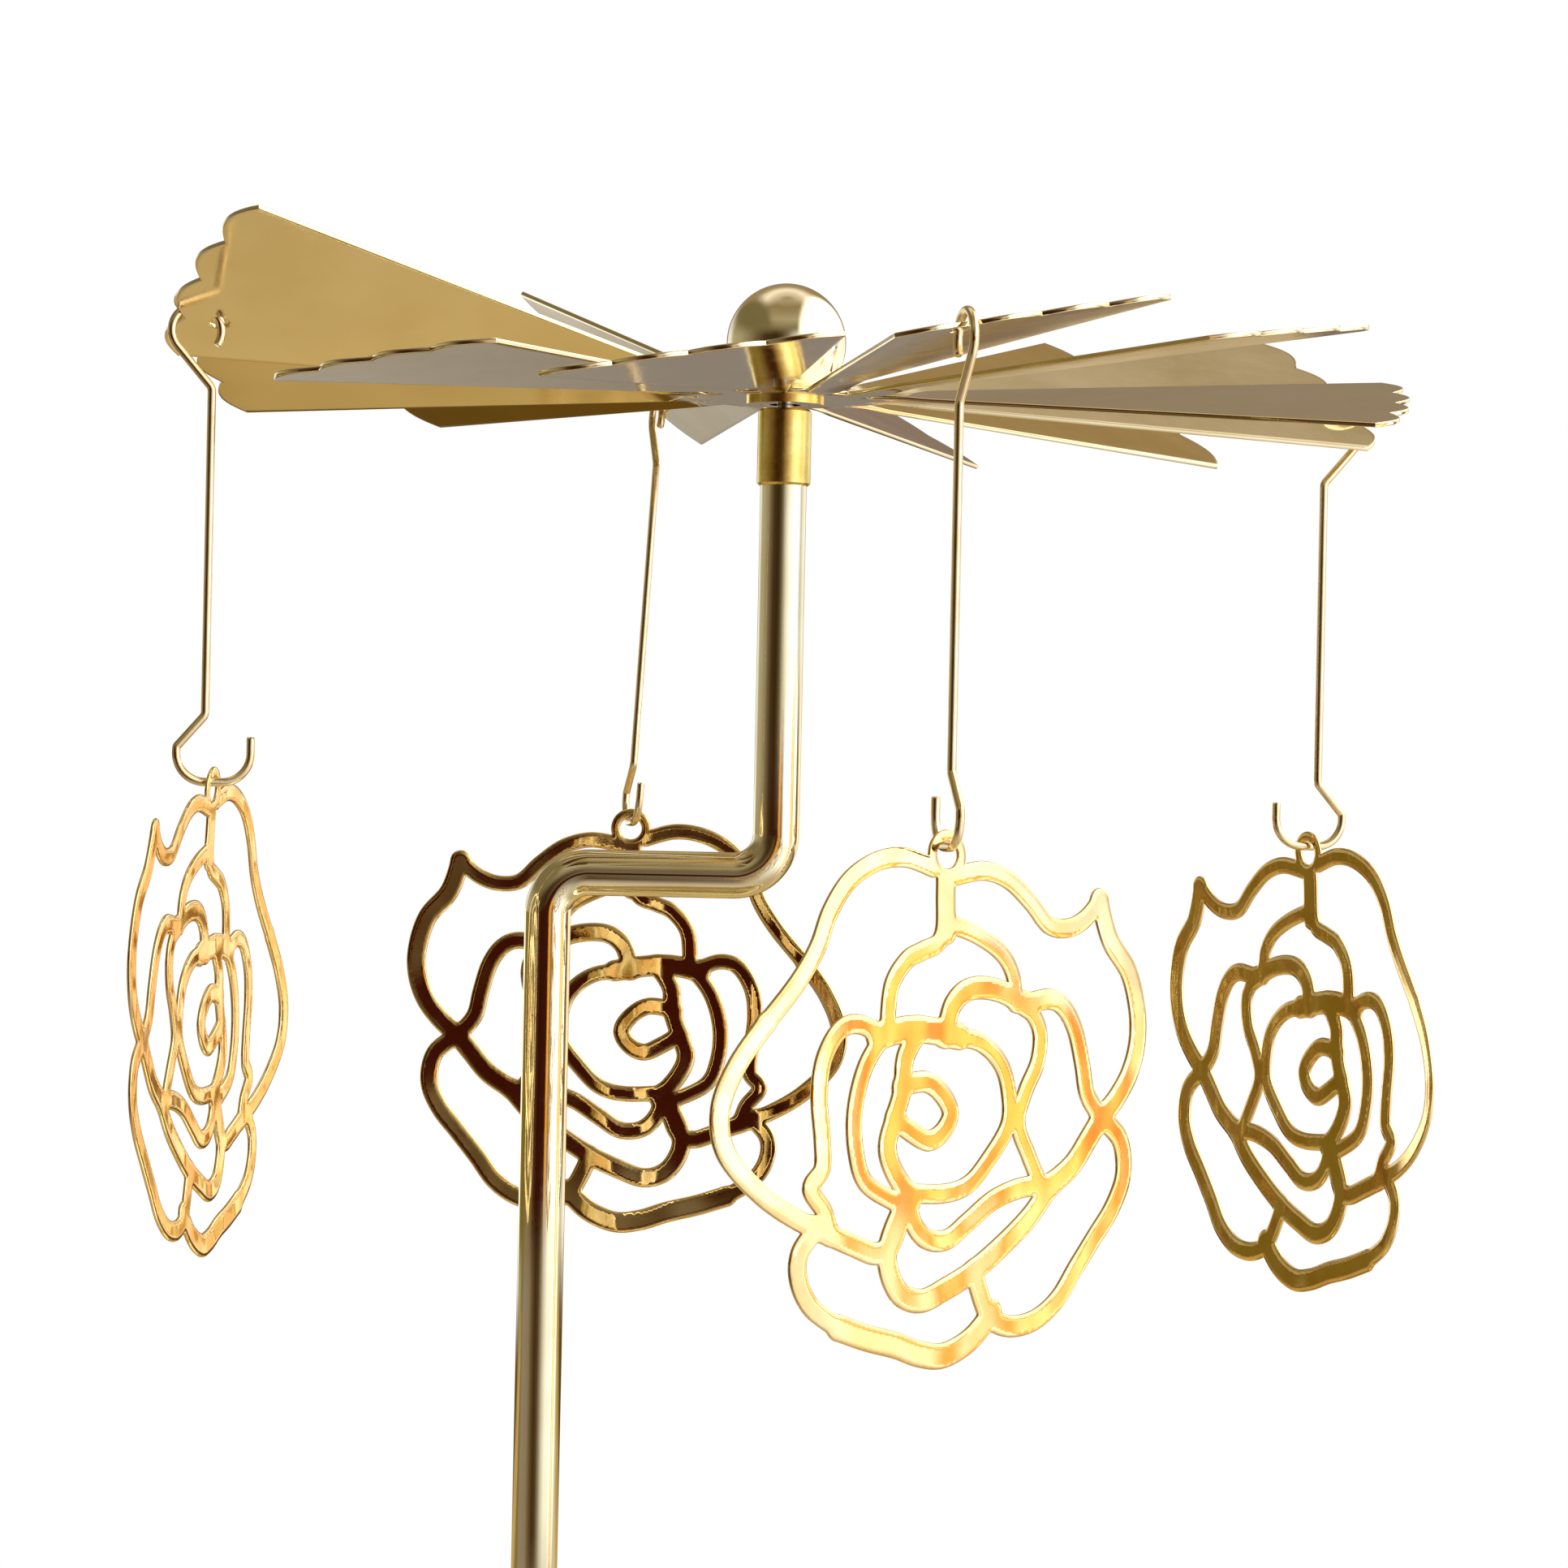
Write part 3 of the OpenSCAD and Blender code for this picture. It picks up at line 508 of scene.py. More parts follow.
def bladeSurface(index):
    # Radius = share of the way to the scalloped tip; turn = share of the angle between the slits; then the
    # blade is turned about its low edge by its pitch and about a line across its root by its rise. Both
    # grow over the neck as 3u^2 - 2u^3.
    size = rotor
    across, along = bladeColumns[None, :], bladeRows[:, None]
    wave = across * size["scallops"]
    tip = size["notchR"] + size["scallopDepth"] * np.sin(pi * (wave - np.floor(wave)))
    radius = size["discR"] + along * (tip - size["discR"])
    outwards = np.clip((radius - size["neckEndR"]) / (size["notchR"] - size["neckEndR"]), 0, 1)
    slit = np.arcsin((size["slitHalf"] + size["tipInset"] * outwards) / radius)
    turn = slit + across * (bladeStep - 2 * slit)
    x, y = radius * np.cos(turn), radius * np.sin(turn)
    quads = gridQuads(along.size, across.size)
    if index in size["hangerBlades"]:
        x, y, quads = pierce(x, y, quads, *hookHole())
    u = np.clip((radius - size["discR"]) / (size["twistEndR"] - size["discR"]), 0, 1)
    bent = u * u * (3 - 2 * u)
    pitch, rise = radians(size["pitches"][index]) * bent, radians(size["rises"][index]) * bent
    reach = y - size["slitHalf"]
    y, z = size["slitHalf"] + reach * np.cos(pitch), reach * np.sin(pitch)
    out = x - size["discR"]
    x, z = size["discR"] + out * np.cos(rise) - z * np.sin(rise), out * np.sin(rise) + z * np.cos(rise)
    base = radians(size["firstTurn"]) + (index - 0.5) * bladeStep
    points = np.stack([x * cos(base) - y * sin(base), x * sin(base) + y * cos(base), z], -1)
    return points.reshape(-1, 3), quads


def hookHole():
    # Middle and radius of a hanger's hole in the flat blade: inwards of the first notch, past the rim.
    size = rotor
    cross = sqrt(size["eyeR"] ** 2 - size["eyeDrop"] ** 2)
    turn = asin((size["slitHalf"] + size["tipInset"]) / size["notchR"])
    turn += (bladeStep - 2 * turn) / size["scallops"]
    radius = size["notchR"] - size["hookRim"] / 2 - cross
    return (radius * cos(turn), radius * sin(turn)), cross - size["hookRim"] / 2


def pierce(x, y, quads, middle, holeR):
    # Drops the quads inside a circle and pulls the points that are left inside it onto the circle.
    offset = np.stack([x.ravel() - middle[0], y.ravel() - middle[1]], -1)
    distance = np.linalg.norm(offset, axis=1)
    quads = quads[(distance[quads] < holeR).sum(1) < 3]
    kept = np.isin(np.arange(len(distance)), quads)
    rim = kept & (distance < holeR)
    scale = np.where(rim, holeR / np.maximum(distance, 1e-9), 1.0)[:, None]
    moved = np.array(middle) + offset * scale
    return moved[:, 0].reshape(x.shape), moved[:, 1].reshape(y.shape), quads


def makeRotor():
    size, shared = rotor, len(bladeColumns)
    slit = asin(size["slitHalf"] / size["discR"])
    # The flat middle: a ring of points that repeats the blades' first rows, with arcs between them.
    bladeTurn = slit + bladeColumns * (bladeStep - 2 * slit)
    gapTurn = np.linspace(bladeTurn[-1], bladeStep + slit, size["gapColumns"])[1:-1]
    sector = np.concatenate([bladeTurn, gapTurn])
    bases = radians(size["firstTurn"]) + (np.arange(len(size["pitches"])) - 0.5) * bladeStep
    turn = (bases[:, None] + sector[None]).ravel()
    outer = np.linspace(size["boreR"] + size["collar"], size["discR"], size["discRings"])
    radii = np.concatenate([[size["boreR"]], outer])[:, None]
    disc = np.stack(np.broadcast_arrays(radii * np.cos(turn), radii * np.sin(turn), 0.0), -1)
    points, quads = [disc.reshape(-1, 3)], [gridQuads(len(radii), len(turn), False, True)]
    total = len(points[0])
    ring = total - len(turn)
    for index in range(len(size["pitches"])):
        blade, cells = bladeSurface(index)
        # The blade's first row is the disc's own outer ring, so its numbers are shared.
        number = np.arange(len(blade)) + total - shared
        number[:shared] = ring + index * len(sector) + np.arange(shared)
        points.append(blade[shared:])
        quads.append(number[cells])
        total += len(blade) - shared
    points, quads = np.concatenate(points), np.concatenate(quads)
    if faceNormals(points, quads)[:, 2].sum() < 0:
        quads = quads[:, ::-1]
    used, quads = np.unique(quads, return_inverse=True)
    points, quads = points[used], quads.reshape(-1, 4)
    half = size["sheet"] / 2
    points[:, 2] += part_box("hub_clamp_ring")[1].z + half
    return thicken(points, quads, half, [(out * size["edge"], share) for out, share in size["edgeWall"]])


addPiece("bladed_rotor", makeRotor(), "rotor", ["rotor_sheet"], "bladePlate", sharpOver=50)


# Hanger wires: an eye round the blade's rim, a straight shank and an open hook

wire = dict(r=0.45 * mm, eyeR=2.6 * mm, eyeEnd=215.0, kink=49.0, inset=1.7 * mm, hookW=7.8 * mm,
            hookH=7.0 * mm, bulge=2.95 * mm, hookR=3.0 * mm, kinkR=1.08 * mm, tip=4.8 * mm, filed=1 / 3,
            eyeSteps=40, bendSteps=10, segments=20)


def makeWire(side):
    # The run is drawn in the plane through the axis, from the middle of the eye. The plane leans where the
    # hook doesn't hang straight below the eye.
    size = wire
    eye = np.array(joints[f"hanger_{side}_swing"]["pos_m"])
    seat = np.array(joints[f"rose_{side}_swing"]["pos_m"])
    turn = atan2(eye[1], eye[0])
    aside = (seat - eye) @ (-sin(turn), cos(turn), 0.0)
    lean = atan2(aside, eye[2] - seat[2])
    low = -hypot(aside, eye[2] - seat[2])        # the hook's lowest stretch, on which the rose hangs
    fall = tan(radians(size["kink"]))
    start = size["eyeR"] * np.array([sin(radians(size["kink"])), -cos(radians(size["kink"]))])
    shankTop = start[1] - (start[0] + size["inset"]) * fall
    bulgeX = size["bulge"] - size["inset"]
    bend = low + size["hookH"]
    tipX = bulgeX - size["hookW"]
    corners = [start, (-size["inset"], shankTop), (-size["inset"], bend),
               (bulgeX, bend - size["bulge"] * fall), (bulgeX, low), (tipX, low), (tipX, low + size["tip"])]
    radii = [0, size["kinkR"], size["kinkR"], size["kinkR"] / 2, size["hookR"], size["hookR"], 0]
    eyeRun = arc((0, 0), size["eyeR"], size["eyeEnd"], size["kink"] - 90, size["eyeSteps"])
    run = np.concatenate([eyeRun[:-1], rounded(corners, radii, size["bendSteps"])])
    # Both ends are cut off and filed a little: the radius falls by a share of itself over the same length.
    r, filed = size["r"], size["r"] * size["filed"]
    first, last = run[0] + filed * unit(run[1] - run[0]), run[-1] + filed * unit(run[-2] - run[-1])
    run = np.concatenate([run[:1], [first], run[1:-1], [last], run[-1:]])
    radius = [r - filed] + [r] * (len(run) - 2) + [r - filed]
    return barInPlane(run, radius, turn, eye, size["segments"], lean)


for side in sides:
    addPiece(f"hook_wire_{side}", makeWire(side), f"hanger_{side}",
             [f"hanger_wire_{side}"], "wirePlate")


# Roses: bands of sheet that run together, cut from one piece and pressed to a shallow bowl

rose = dict(width=53 * mm, drop=49 * mm, band=1.8 * mm, sheet=0.5 * mm, ringR=2.4 * mm, holeR=1.3 * mm,
            hornShare=1.3, jointShare=1.5, ringSag=0.75 * mm, blend=0.13 * mm, cell=0.19 * mm,
            inset=0.18 * mm, rimShare=0.80, crownWidth=0.16 * mm, bowl=0.6 * mm, flatShare=0.30,
            wave=0.15 * mm, waves=3, wavePhase=1.1, waveTo=1.2, curlFrom=12 * mm,
            yaws=dict(right=14, back=-16, left=-25, front=24),
            curls=dict(right=2.0 * mm, back=2.7 * mm, left=0.5 * mm, front=1.6 * mm),
            edgeTurns=(60, 30, 0, -30, -60), bandSteps=8, reach=2 * mm, slopeStep=0.02 * mm, margin=3 * mm)

# Seen from the rotor's axis. Each row is a band's width as a share of the thin bands' width, then its
# points in thousandths of the rose's width and drop, from the middle of its ring.
bandPoints = [
    (1.30, [(-387, -88), (-412, -165), (-460, -228), (-482, -303), (-482, -370), (-462, -432),
            (-426, -483), (-387, -520)]),
    (1.05, [(-387, -88), (-345, -125), (-300, -142), (-250, -135), (-205, -90), (-150, -47), (-90, -30),
            (-22, -40)]),
    (1.05, [(35, -25), (100, -6), (165, -14), (228, -50), (272, -110), (300, -180), (340, -245),
            (402, -322)]),
    (1.10, [(402, -322), (455, -400), (485, -482), (473, -565), (410, -640), (335, -692), (262, -722)]),
    (1.20, [(300, -708), (206, -748), (156, -765), (119, -746), (96, -680)]),
    (1.05, [(150, -350), (205, -325), (250, -336), (283, -390), (292, -460), (284, -540), (283, -598),
            (306, -635), (276, -680), (262, -725)]),
    (1.05, [(140, -335), (190, -405), (213, -490), (208, -570), (182, -630), (105, -672)]),
    (1.35, [(3, -30), (5, -90), (4, -150)]),
    (1.05, [(4, -120), (22, -168), (62, -186), (100, -205), (134, -255), (142, -340)]),
    (1.00, [(6, -130), (-70, -155), (-130, -190), (-160, -235), (-166, -290)]),
    (1.25, [(-200, -298), (-125, -264), (-55, -260), (-12, -291), (6, -352)]),
    (1.45, [(-30, -352), (35, -340), (95, -336), (165, -348)]),
    (1.05, [(10, -350), (-75, -362), (-130, -405), (-152, -465), (-150, -530), (-104, -596), (-58, -641),
            (0, -656), (85, -652)]),
    (1.25, [(65, -335), (98, -390), (103, -450), (120, -505), (136, -560), (118, -610), (75, -665)]),
    (1.15, [(108, -446), (50, -438), (10, -462), (-12, -500), (6, -536), (40, -552), (80, -534),
            (122, -506)]),
    (1.15, [(-387, -520), (-350, -472), (-336, -410), (-318, -345), (-290, -300), (-252, -282),
            (-190, -292)]),
    (1.05, [(-190, -285), (-226, -340), (-222, -405), (-192, -465), (-176, -525), (-205, -590),
            (-240, -655)]),
    (1.35, [(-387, -520), (-355, -562), (-315, -612), (-262, -650)]),
    (1.15, [(-262, -650), (-190, -652), (-120, -674), (-60, -714), (-10, -746), (40, -741), (73, -705),
            (85, -650)]),
    (1.30, [(-262, -650), (-212, -710), (-145, -765), (-75, -812), (-12, -842), (45, -862), (96, -845),
            (126, -795), (126, -740), (90, -665)]),
    (1.20, [(-387, -520), (-438, -565), (-450, -635), (-425, -700), (-380, -760), (-335, -820),
            (-292, -880), (-235, -918), (-170, -924), (-118, -895), (-78, -810)]),
    (1.40, [(-130, -895), (-80, -945), (-18, -972), (40, -966), (100, -945), (170, -926), (235, -903)]),
    (1.10, [(235, -903), (295, -862), (325, -810), (325, -755), (285, -705)]),
]


def inRose(places):
    return np.array(places) / 1000 * (rose["width"], rose["drop"])


def bandRun(places):
    # A smooth run through a band's points: each stretch is a cubic of the two points at its ends and the
    # one before and after them.
    p = inRose([places[0], *places, places[-1]])
    a, b, c, d = (p[k:len(p) - 3 + k, None] for k in range(4))
    t = np.linspace(0, 1, rose["bandSteps"], endpoint=False)[None, :, None]
    square, cube = a * 2 - b * 5 + c * 4 - d, b * 3 - a - c * 3 + d
    run = (b * 2 + (c - a) * t + square * t ** 2 + cube * t ** 3) / 2
    return np.concatenate([run.reshape(-1, 2), p[-1:]])


def distanceToRun(points, run):
    # Least distance from each point to a run of straight pieces.
    start, step = run[:-1], np.diff(run, axis=0)
    offset = points[:, None] - start[None]
    along = np.clip((offset * step).sum(-1) / (step * step).sum(-1), 0, 1)
    return np.linalg.norm(offset - along[..., None] * step, axis=-1).min(1)


bandRuns = [(share * rose["band"] / 2, bandRun(points)) for share, points in bandPoints]


def roseField(points):
    # Distance outside the rose's outline, negative inside: a soft least of all bands, the ring and two
    # round tips, less the ring's hole. The softness fills the corners where bands meet. Bands further off
    # than the reach count as that far.
    size = rose
    tips = zip(inRose(bandPoints[0][1])[[0, -1]], (size["hornShare"], size["jointShare"]))
    parts = []
    for half, run in bandRuns:
        low, high = run.min(0) - half - size["reach"], run.max(0) + half + size["reach"]
        near = np.all((points > low) & (points < high), 1)
        distance = np.full(len(points), size["reach"])
        distance[near] = distanceToRun(points[near], run) - half
        parts.append(distance)
    for middle, share in tips:
        parts.append(np.linalg.norm(points - middle, axis=1) - share * size["band"] / 2)
    fromRing = np.linalg.norm(points, axis=1)
    parts.append(fromRing - size["ringR"])
    parts = np.stack(parts)
    least = parts.min(0)
    soft = least - size["blend"] * np.log(np.exp(-(parts - least) / size["blend"]).sum(0))
    return np.maximum(soft, size["holeR"] - fromRing)


def slopeOf(points):
    # Central differences of the field, at unit length.
    step = rose["slopeStep"]
    shifts = [np.array([step, 0]), np.array([0, step])]
    slope = np.stack([roseField(points + s) - roseField(points - s) for s in shifts], -1) / (2 * step)
    return unit(slope)


def roseOutline():
    # Squares of a fine grid whose middle lies inside the outline; the points on the border slide onto it.
    size = rose
    h, margin = size["cell"], size["margin"]
    xs = np.arange(-size["width"] / 2 - margin, size["width"] / 2 + margin, h)
    ys = np.arange(-size["drop"] - margin, size["ringR"] + margin, h)
    grid = np.stack(np.meshgrid(xs, ys), -1)
    points = grid.reshape(-1, 2)
    middles = (grid[:-1, :-1] + grid[1:, 1:]).reshape(-1, 2) / 2
    inside = (roseField(middles) + size["inset"] < 0).reshape(len(ys) - 1, len(xs) - 1)
    for _ in range(4):                            # no two squares may touch at a corner alone
        a, b, c, d = inside[:-1, :-1], inside[:-1, 1:], inside[1:, :-1], inside[1:, 1:]
        falling, rising = a & d & ~b & ~c, b & c & ~a & ~d
        inside[:-1, :-1] &= ~falling
        inside[:-1, 1:] &= ~rising
    quads = gridQuads(len(ys), len(xs))[inside.ravel()]
    used, quads = np.unique(quads, return_inverse=True)
    points, quads = points[used], quads.reshape(-1, 4)
    border = np.unique(openEdges(quads, len(points)))
    for _ in range(3):
        away = roseField(points[border]) + size["inset"]
        points[border] -= away[:, None] * slopeOf(points[border])
    depth = np.maximum(-(roseField(points) + size["inset"]), 0)
    depth[border] = 0
    return points, quads, depth


def roseSheet(outline, curled):
    # Half thickness grows from the rim to the crown of each band as a quarter wave. The sheet is a bowl
    # that is flat in the middle, with its ring in the first plane; its height waves round it, and the petal
    # away from the horn curls on towards the rotor's axis as the square of the way past curlFrom.
    size = rose
    flat, quads, depth = outline
    halfWidth, halfDrop = size["width"] / 2, size["drop"] / 2
    x, y = flat[:, 0] / halfWidth, flat[:, 1] / halfDrop + 1
    out = np.hypot(x, y)
    rise = np.clip((out - size["flatShare"]) / (1 - size["flatShare"]), 0, None)
    waved = np.sin(size["waves"] * np.arctan2(y, x) + size["wavePhase"])
    swing = waved * np.clip(out, 0, size["waveTo"]) ** 2
    atRing = sin(size["waves"] * pi / 2 + size["wavePhase"])
    curl = np.clip((flat[:, 0] - size["curlFrom"]) / (halfWidth - size["curlFrom"]), 0, 1)
    height = size["wave"] * (swing - atRing) - size["bowl"] * (1 - rise ** 2) + curled * curl ** 2
    half = size["sheet"] / 2
    crown = np.sin(np.clip(depth / size["crownWidth"], 0, 1) * pi / 2)
    thickness = half * (size["rimShare"] + (1 - size["rimShare"]) * crown)
    points = np.stack([flat[:, 0], flat[:, 1], height], -1)
    wall = [(size["inset"] * cos(turn), sin(turn)) for turn in np.radians(size["edgeTurns"])]
    return thicken(points, quads, thickness, wall)


outline = roseOutline()
print("rose drawn")

for side in sides:
    sheet, faces = roseSheet(outline, rose["curls"][side])
    eye, seat = (Vector(joints[f"{kind}_{side}_swing"]["pos_m"]) for kind in ("hanger", "rose"))
    turn = atan2(eye.y, eye.x) + radians(rose["yaws"][side] - 90)
    place = Matrix.Translation(seat - Vector((0, 0, rose["ringSag"])))
    place = np.array(place @ Matrix.Rotation(turn, 4, "Z") @ Matrix.Rotation(radians(90), 4, "X"))
    points = sheet @ place[:3, :3].T + place[:3, 3]
    addPiece(f"pressed_rose_{side}", (points, faces), f"rose_{side}",
             [f"rose_charm_{side}"], "rosePlate", sharpOver=60)


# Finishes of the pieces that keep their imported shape

kept = {"foot_pads": "mattRubber", "cup_rivet": "palePlate", "stem_washers": "plainSteel",
        "stem_nut": "plainSteel", "pivot_needle": "plainSteel", "hub_clamp_ring": "turnedBrass"}
for name, finish in kept.items():
    node = frame["nodes"][name]
    node.data.materials.clear()
    node.data.materials.append(materials[finish])
print("finishes set")


# Studio: the camera sees white. Polished metal sees a window to the right, a dark room to the left, white
# sheets to either side of a dark strip behind, and a table in many colours. The colours are set to
# suit the view from the front, so this isn't a plain studio, and the gold differs under other light.

studio = dict(
    # What polished metal sees level around it: degrees from the camera's side towards +X, and the colour.
    around=[(-180, (0.19, 0.135, 0.085)), (-163, (0.24, 0.18, 0.11)), (-155, (0.95, 0.94, 0.90)),
            (-140, (0.95, 0.92, 0.86)), (-126, (0.48, 0.43, 0.29)), (-100, (0.42, 0.37, 0.25)),
            (-75, (0.27, 0.22, 0.14)), (-60, (0.16, 0.11, 0.06)), (-42, (0.06, 0.035, 0.015)),
            (-20, (0.045, 0.022, 0.006)), (-8, (0.09, 0.06, 0.03)), (2, (0.22, 0.18, 0.13)),
            (11, (0.50, 0.47, 0.40)), (23, (0.90, 0.90, 0.87)), (36, (1.15, 1.15, 1.15)),
            (60, (1.6, 1.6, 1.9)), (78, (1.8, 1.8, 2.3)), (89, (1.3, 1.3, 1.6)), (104, (0.66, 0.68, 0.70)),
            (118, (0.90, 0.90, 0.88)), (130, (1.1, 1.08, 1.02)), (157, (1.05, 0.98, 0.88)),
            (164, (0.28, 0.21, 0.14)), (174, (0.22, 0.155, 0.11)), (180, (0.19, 0.135, 0.085))],
    # The same for the table's painted reflection in front of the object and beside it, a glow that only
    # polished metal sees.
    nearAround=[(-180, (0.50, 0.42, 0.28)), (-140, (0.9, 0.85, 0.7)), (-124, (0.26, 0.19, 0.04)),
                (-98, (0.24, 0.17, 0.05)), (-84, (0.30, 0.25, 0.20)), (-54, (0.28, 0.22, 0.16)),
                (-38, (0.14, 0.09, 0.04)), (-22, (0.06, 0.03, 0.010)), (-7, (0.09, 0.06, 0.03)),
                (5, (0.30, 0.24, 0.18)), (22, (0.80, 0.80, 0.78)), (37, (1.15, 1.15, 1.15)),
                (60, (1.2, 1.2, 1.25)), (70, (1.7, 1.7, 1.8)), (76, (1.25, 0.68, 0.20)),
                (81, (1.8, 1.6, 1.1)), (86, (1.15, 0.60, 0.16)), (93, (1.9, 1.9, 1.8)),
                (104, (0.72, 0.74, 0.76)), (116, (0.78, 0.80, 0.86)), (137, (1.5, 1.3, 1.0)),
                (147, (1.1, 0.66, 0.26)), (154, (1.4, 1.15, 0.85)), (162, (0.9, 0.6, 0.3)),
                (180, (0.50, 0.42, 0.28))],
    # The same for what lies low and far off.
    farAround=[(-180, (0.27, 0.23, 0.19)), (-168, (0.46, 0.42, 0.36)), (-161, (1.4, 1.35, 1.3)),
               (-141, (1.4, 1.3, 1.1)), (-134, (0.24, 0.18, 0.05)), (-110, (0.19, 0.135, 0.02)),
               (-75, (0.25, 0.20, 0.11)), (-57, (0.20, 0.13, 0.06)), (-44, (0.08, 0.03, 0.015)),
               (-30, (0.035, 0.006, 0.003)), (6, (0.05, 0.008, 0.005)), (11, (0.95, 0.42, 0.05)),
               (17, (0.80, 0.36, 0.06)), (23, (0.12, 0.05, 0.02)), (34, (1.3, 1.3, 1.4)),
               (58, (2.3, 2.4, 2.9)), (68, (2.4, 2.3, 2.0)), (75, (1.4, 0.45, 0.12)),
               (81, (1.7, 1.25, 0.50)), (87, (1.3, 0.42, 0.12)), (94, (2.3, 2.2, 1.7)),
               (104, (2.4, 2.4, 2.4)), (112, (0.10, 0.05, 0.015)), (127, (0.4, 0.3, 0.17)),
               (136, (1.6, 1.45, 1.2)), (145, (1.3, 0.72, 0.25)), (152, (1.5, 1.25, 0.95)),
               (158, (1.2, 0.62, 0.22)), (164, (1.2, 1.05, 0.8)), (169, (0.28, 0.24, 0.20)),
               (180, (0.27, 0.23, 0.19))],
    # Elevations over which the low ring gives way to the level one, and that one to what is above.
    lowTo=(-0.5, 1.5), levelTo=(7, 27),
    # Above the ring, by elevation: over the camera and over the backdrop; and to either side of both. The
    # pairs are the part of a direction along Y or X at which one gives way to the next.
    toBackdrop=(-0.25, 0.25), toRight=(0.30, 0.55), toLeft=(-0.35, -0.60),
    overCamera=[(5, (0.10, 0.07, 0.03)), (17, (0.18, 0.13, 0.07)), (29, (0.30, 0.24, 0.14)),
                (41, (0.44, 0.37, 0.24)), (53, (0.36, 0.29, 0.17)), (67, (0.30, 0.23, 0.12)),
                (90, (0.42, 0.34, 0.22))],
    overBackdrop=[(5, (0.20, 0.145, 0.09)), (12, (0.60, 0.45, 0.42)), (21, (0.31, 0.25, 0.18)),
                  (30, (0.34, 0.24, 0.12)), (36, (0.36, 0.25, 0.11)), (46, (0.42, 0.33, 0.22)),
                  (62, (1.1, 0.98, 0.85)), (80, (0.70, 0.60, 0.46)), (90, (0.42, 0.34, 0.22))],
    overRight=(2.4, 2.35, 2.2, 1), overLeft=(0.20, 0.16, 0.08, 1), diffuse=(0.85, 0.85, 0.85, 1),
    # The table's painted reflection near the object, a glow that only polished metal sees, by metres behind
    # the axis.
    table=[(-0.35, (0.12, 0.075, 0.04)), (-0.18, (0.32, 0.25, 0.19)), (-0.11, (0.50, 0.40, 0.32)),
           (-0.07, (0.62, 0.52, 0.40)), (0.0, (0.52, 0.42, 0.27)), (0.09, (0.60, 0.43, 0.18)),
           (0.17, (0.52, 0.37, 0.15)), (0.25, (0.14, 0.070, 0.008)), (0.40, (0.12, 0.065, 0.012)),
           (0.49, (0.20, 0.16, 0.12))])
white = (1, 1, 1, 1)


def roomRing(tree, x, y, stops):
    # A colour by the turn of a direction, from its two level parts.
    around = math(tree, "ARCTAN2", x, math(tree, "MULTIPLY", y, -1.0))
    share = math(tree, "ADD", math(tree, "DIVIDE", around, 2 * pi), 0.5)
    return ramp(tree, share, [(turn / 360 + 0.5, colour) for turn, colour in studio[stops]])


def mixed(tree, factor, a, b):
    inputs = {"Factor": factor, "A": a, "B": b}
    return addNode(tree, "ShaderNodeMix", inputs, data_type="RGBA").outputs["Result"]


def blended(tree, share, first, second):
    sockets = {0: share, 1: first.outputs[0], 2: second.outputs[0]}
    return addNode(tree, "ShaderNodeMixShader", sockets)


def makeWorld():
    # Camera rays see plain white, diffuse rays a plain grey, and glossy rays the room by its direction.
    world = bpy.data.worlds.new("studio")
    scene.world = world
    world.use_nodes = True
    tree = world.node_tree
    tree.nodes.clear()
    ray = addNode(tree, "ShaderNodeTexCoord").outputs["Generated"]
    x, y, z = addNode(tree, "ShaderNodeSeparateXYZ", {0: ray}).outputs
    over = [ramp(tree, z, [(sin(radians(height)), colour) for height, colour in studio[side]])
            for side in ("overCamera", "overBackdrop")]
    upper = mixed(tree, spread(tree, y, *studio["toBackdrop"]), *over)
    upper = mixed(tree, spread(tree, x, *studio["toRight"]), upper, studio["overRight"])
    upper = mixed(tree, spread(tree, x, *studio["toLeft"]), upper, studio["overLeft"])
    lowTo, levelTo = ([sin(radians(height)) for height in studio[key]] for key in ("lowTo", "levelTo"))
    rings = [roomRing(tree, x, y, key) for key in ("farAround", "around")]
    room = mixed(tree, spread(tree, z, *levelTo), mixed(tree, spread(tree, z, *lowTo), *rings), upper)
    path = addNode(tree, "ShaderNodeLightPath").outputs
    diffuse = mixed(tree, path["Is Diffuse Ray"], room, studio["diffuse"])
    seen = mixed(tree, path["Is Camera Ray"], diffuse, white)
    background = addNode(tree, "ShaderNodeBackground", {"Color": seen, "Strength": 1.0})
    addNode(tree, "ShaderNodeOutputWorld", {"Surface": background.outputs[0]})


# Pairs are where a zone of the table starts and where it is reached in full, in metres from the axis, and
# for front and behind in metres behind it. ownWhite is the white's share for the camera in the middle.
table = dict(half=3.0, paint=(0.86, 0.86, 0.86, 1), ownWhite=0.62, white=(0.10, 0.17),
             ringInFront=(0.07, 0.20), front=(0.12, 0.04), behind=(0.10, 0.25), ringBehind=(0.40, 0.65),
             farOff=(0.55, 0.85))


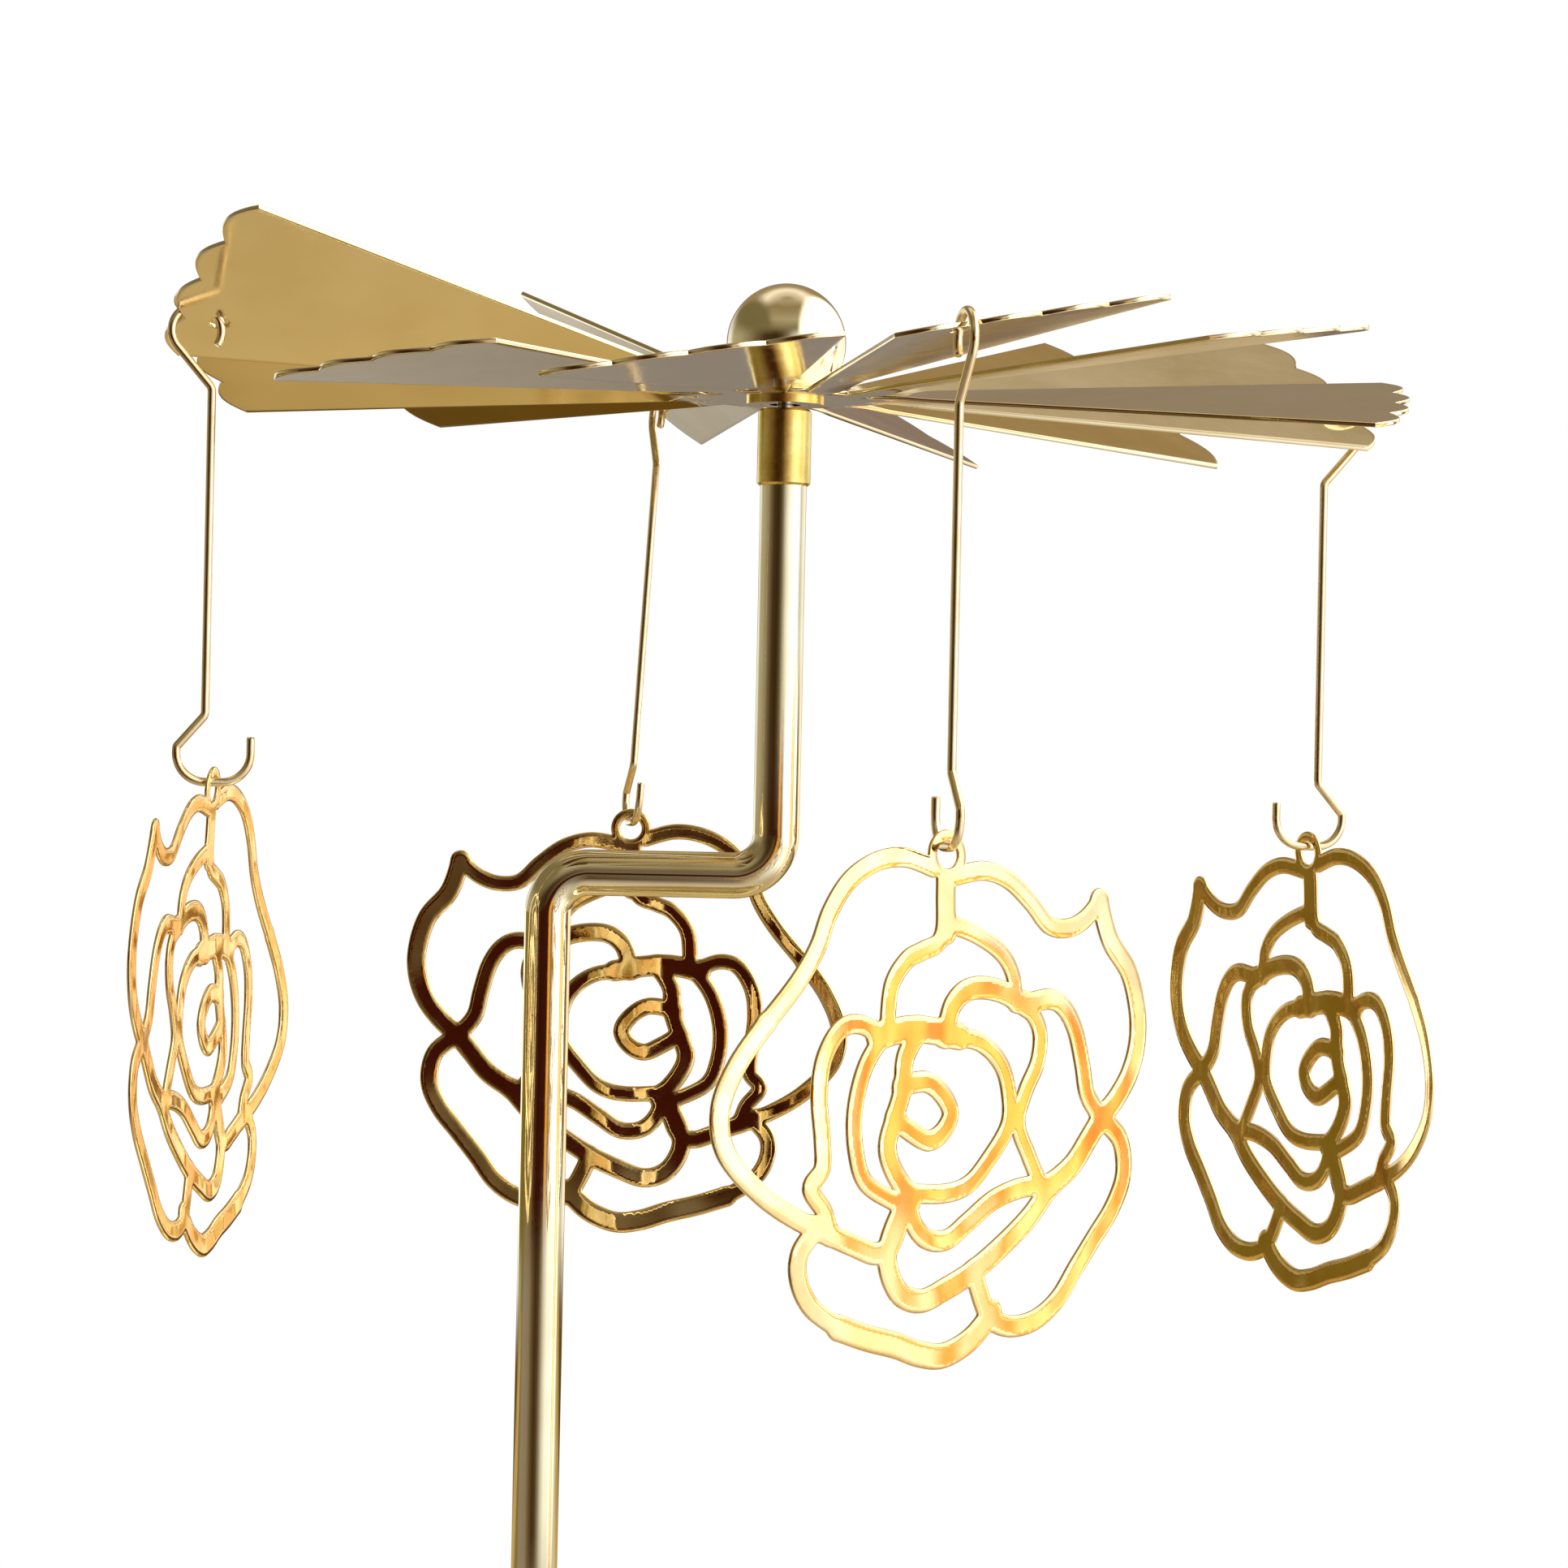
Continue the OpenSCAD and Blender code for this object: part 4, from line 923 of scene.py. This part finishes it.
def makeTable():
    # A large pale floor that keeps the shadow round the object. The camera sees it turn plain white further
    # out, and polished metal sees a painted reflection on it: colours by place and direction that glow for
    # glossy rays alone.
    half, ground = table["half"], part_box("foot_pads")[0].z
    mesh = bpy.data.meshes.new("table")
    corners = [(-half, -half, ground), (half, -half, ground), (half, half, ground), (-half, half, ground)]
    mesh.from_pydata(corners, [], [(0, 1, 2, 3)])
    material = bpy.data.materials.new("paleTable")
    material.use_nodes = True
    tree = material.node_tree
    tree.nodes.clear()
    x, y = addNode(tree, "ShaderNodeSeparateXYZ", {0: objectPlace(tree)}).outputs[:2]
    squares = [math(tree, "POWER", part, 2.0) for part in (x, y)]
    distance = math(tree, "SQRT", math(tree, "ADD", *squares))
    zones = [(0.5 + behind, colour) for behind, colour in studio["table"]]
    near = ramp(tree, math(tree, "ADD", y, 0.5), zones)
    inFront = math(tree, "MULTIPLY", spread(tree, distance, *table["ringInFront"]),
                   spread(tree, y, *table["front"]))
    ringShare = math(tree, "MAXIMUM", inFront, spread(tree, distance, *table["ringBehind"]))
    low, level, far = (roomRing(tree, x, y, key) for key in ("nearAround", "around", "farAround"))
    room = mixed(tree, ringShare, near, mixed(tree, spread(tree, y, *table["behind"]), low, level))
    room = mixed(tree, spread(tree, distance, *table["farOff"]), room, far)
    # A painted reflection: the table glows in these colours for glossy rays alone.
    paintedReflection = addNode(tree, "ShaderNodeEmission", {"Color": room})
    path = addNode(tree, "ShaderNodeLightPath").outputs
    paint = addNode(tree, "ShaderNodeBsdfDiffuse", {"Color": table["paint"]})
    glow = addNode(tree, "ShaderNodeEmission", {"Color": white})
    seen = blended(tree, spread(tree, distance, *table["white"], table["ownWhite"]), paint, glow)
    other = blended(tree, path["Is Glossy Ray"], paint, paintedReflection)
    final = blended(tree, path["Is Camera Ray"], other, seen)
    addNode(tree, "ShaderNodeOutputMaterial", {"Surface": final.outputs[0]})
    mesh.materials.append(material)
    floor = bpy.data.objects.new("table", mesh)
    scene.collection.objects.link(floor)


lamp = dict(size=0.5, energy=4.0, place=(0.35, -0.35, 0.75), aim=(0, 0, 0.05))
view = dict(distance=0.490, height=0.1031, lens=104.1, sensor=36.0, shiftX=0.0047, shiftY=0.0176, roll=1.2,
            nearest=0.01, furthest=20.0)


def makeLamp():
    # A soft lamp that throws the shadow; polished metal doesn't mirror it.
    data = bpy.data.lights.new("softLamp", "AREA")
    data.shape, data.size, data.energy = "DISK", lamp["size"], lamp["energy"]
    light = bpy.data.objects.new("softLamp", data)
    light.location = lamp["place"]
    light.rotation_mode = "QUATERNION"
    light.rotation_quaternion = (Vector(lamp["aim"]) - light.location).to_track_quat("-Z", "Y")
    light.visible_glossy = False
    scene.collection.objects.link(light)


def makeCamera():
    # Level, looking along +Y; the roll puts the feet of upright lines to the left.
    data = bpy.data.cameras.new("camera")
    data.lens, data.sensor_width = view["lens"], view["sensor"]
    data.shift_x, data.shift_y = view["shiftX"], view["shiftY"]
    data.clip_start, data.clip_end = view["nearest"], view["furthest"]
    camera = bpy.data.objects.new("camera", data)
    camera.location = (0.0, -view["distance"], view["height"])
    camera.rotation_mode = "QUATERNION"
    upright = Matrix.Rotation(radians(90), 4, "X") @ Matrix.Rotation(radians(view["roll"]), 4, "Z")
    camera.rotation_quaternion = upright.to_quaternion()
    scene.collection.objects.link(camera)
    bpy.context.scene.camera = camera


makeWorld()
makeTable()
makeLamp()
makeCamera()
bpy.context.scene.view_settings.view_transform = "Standard"
print("studio set")
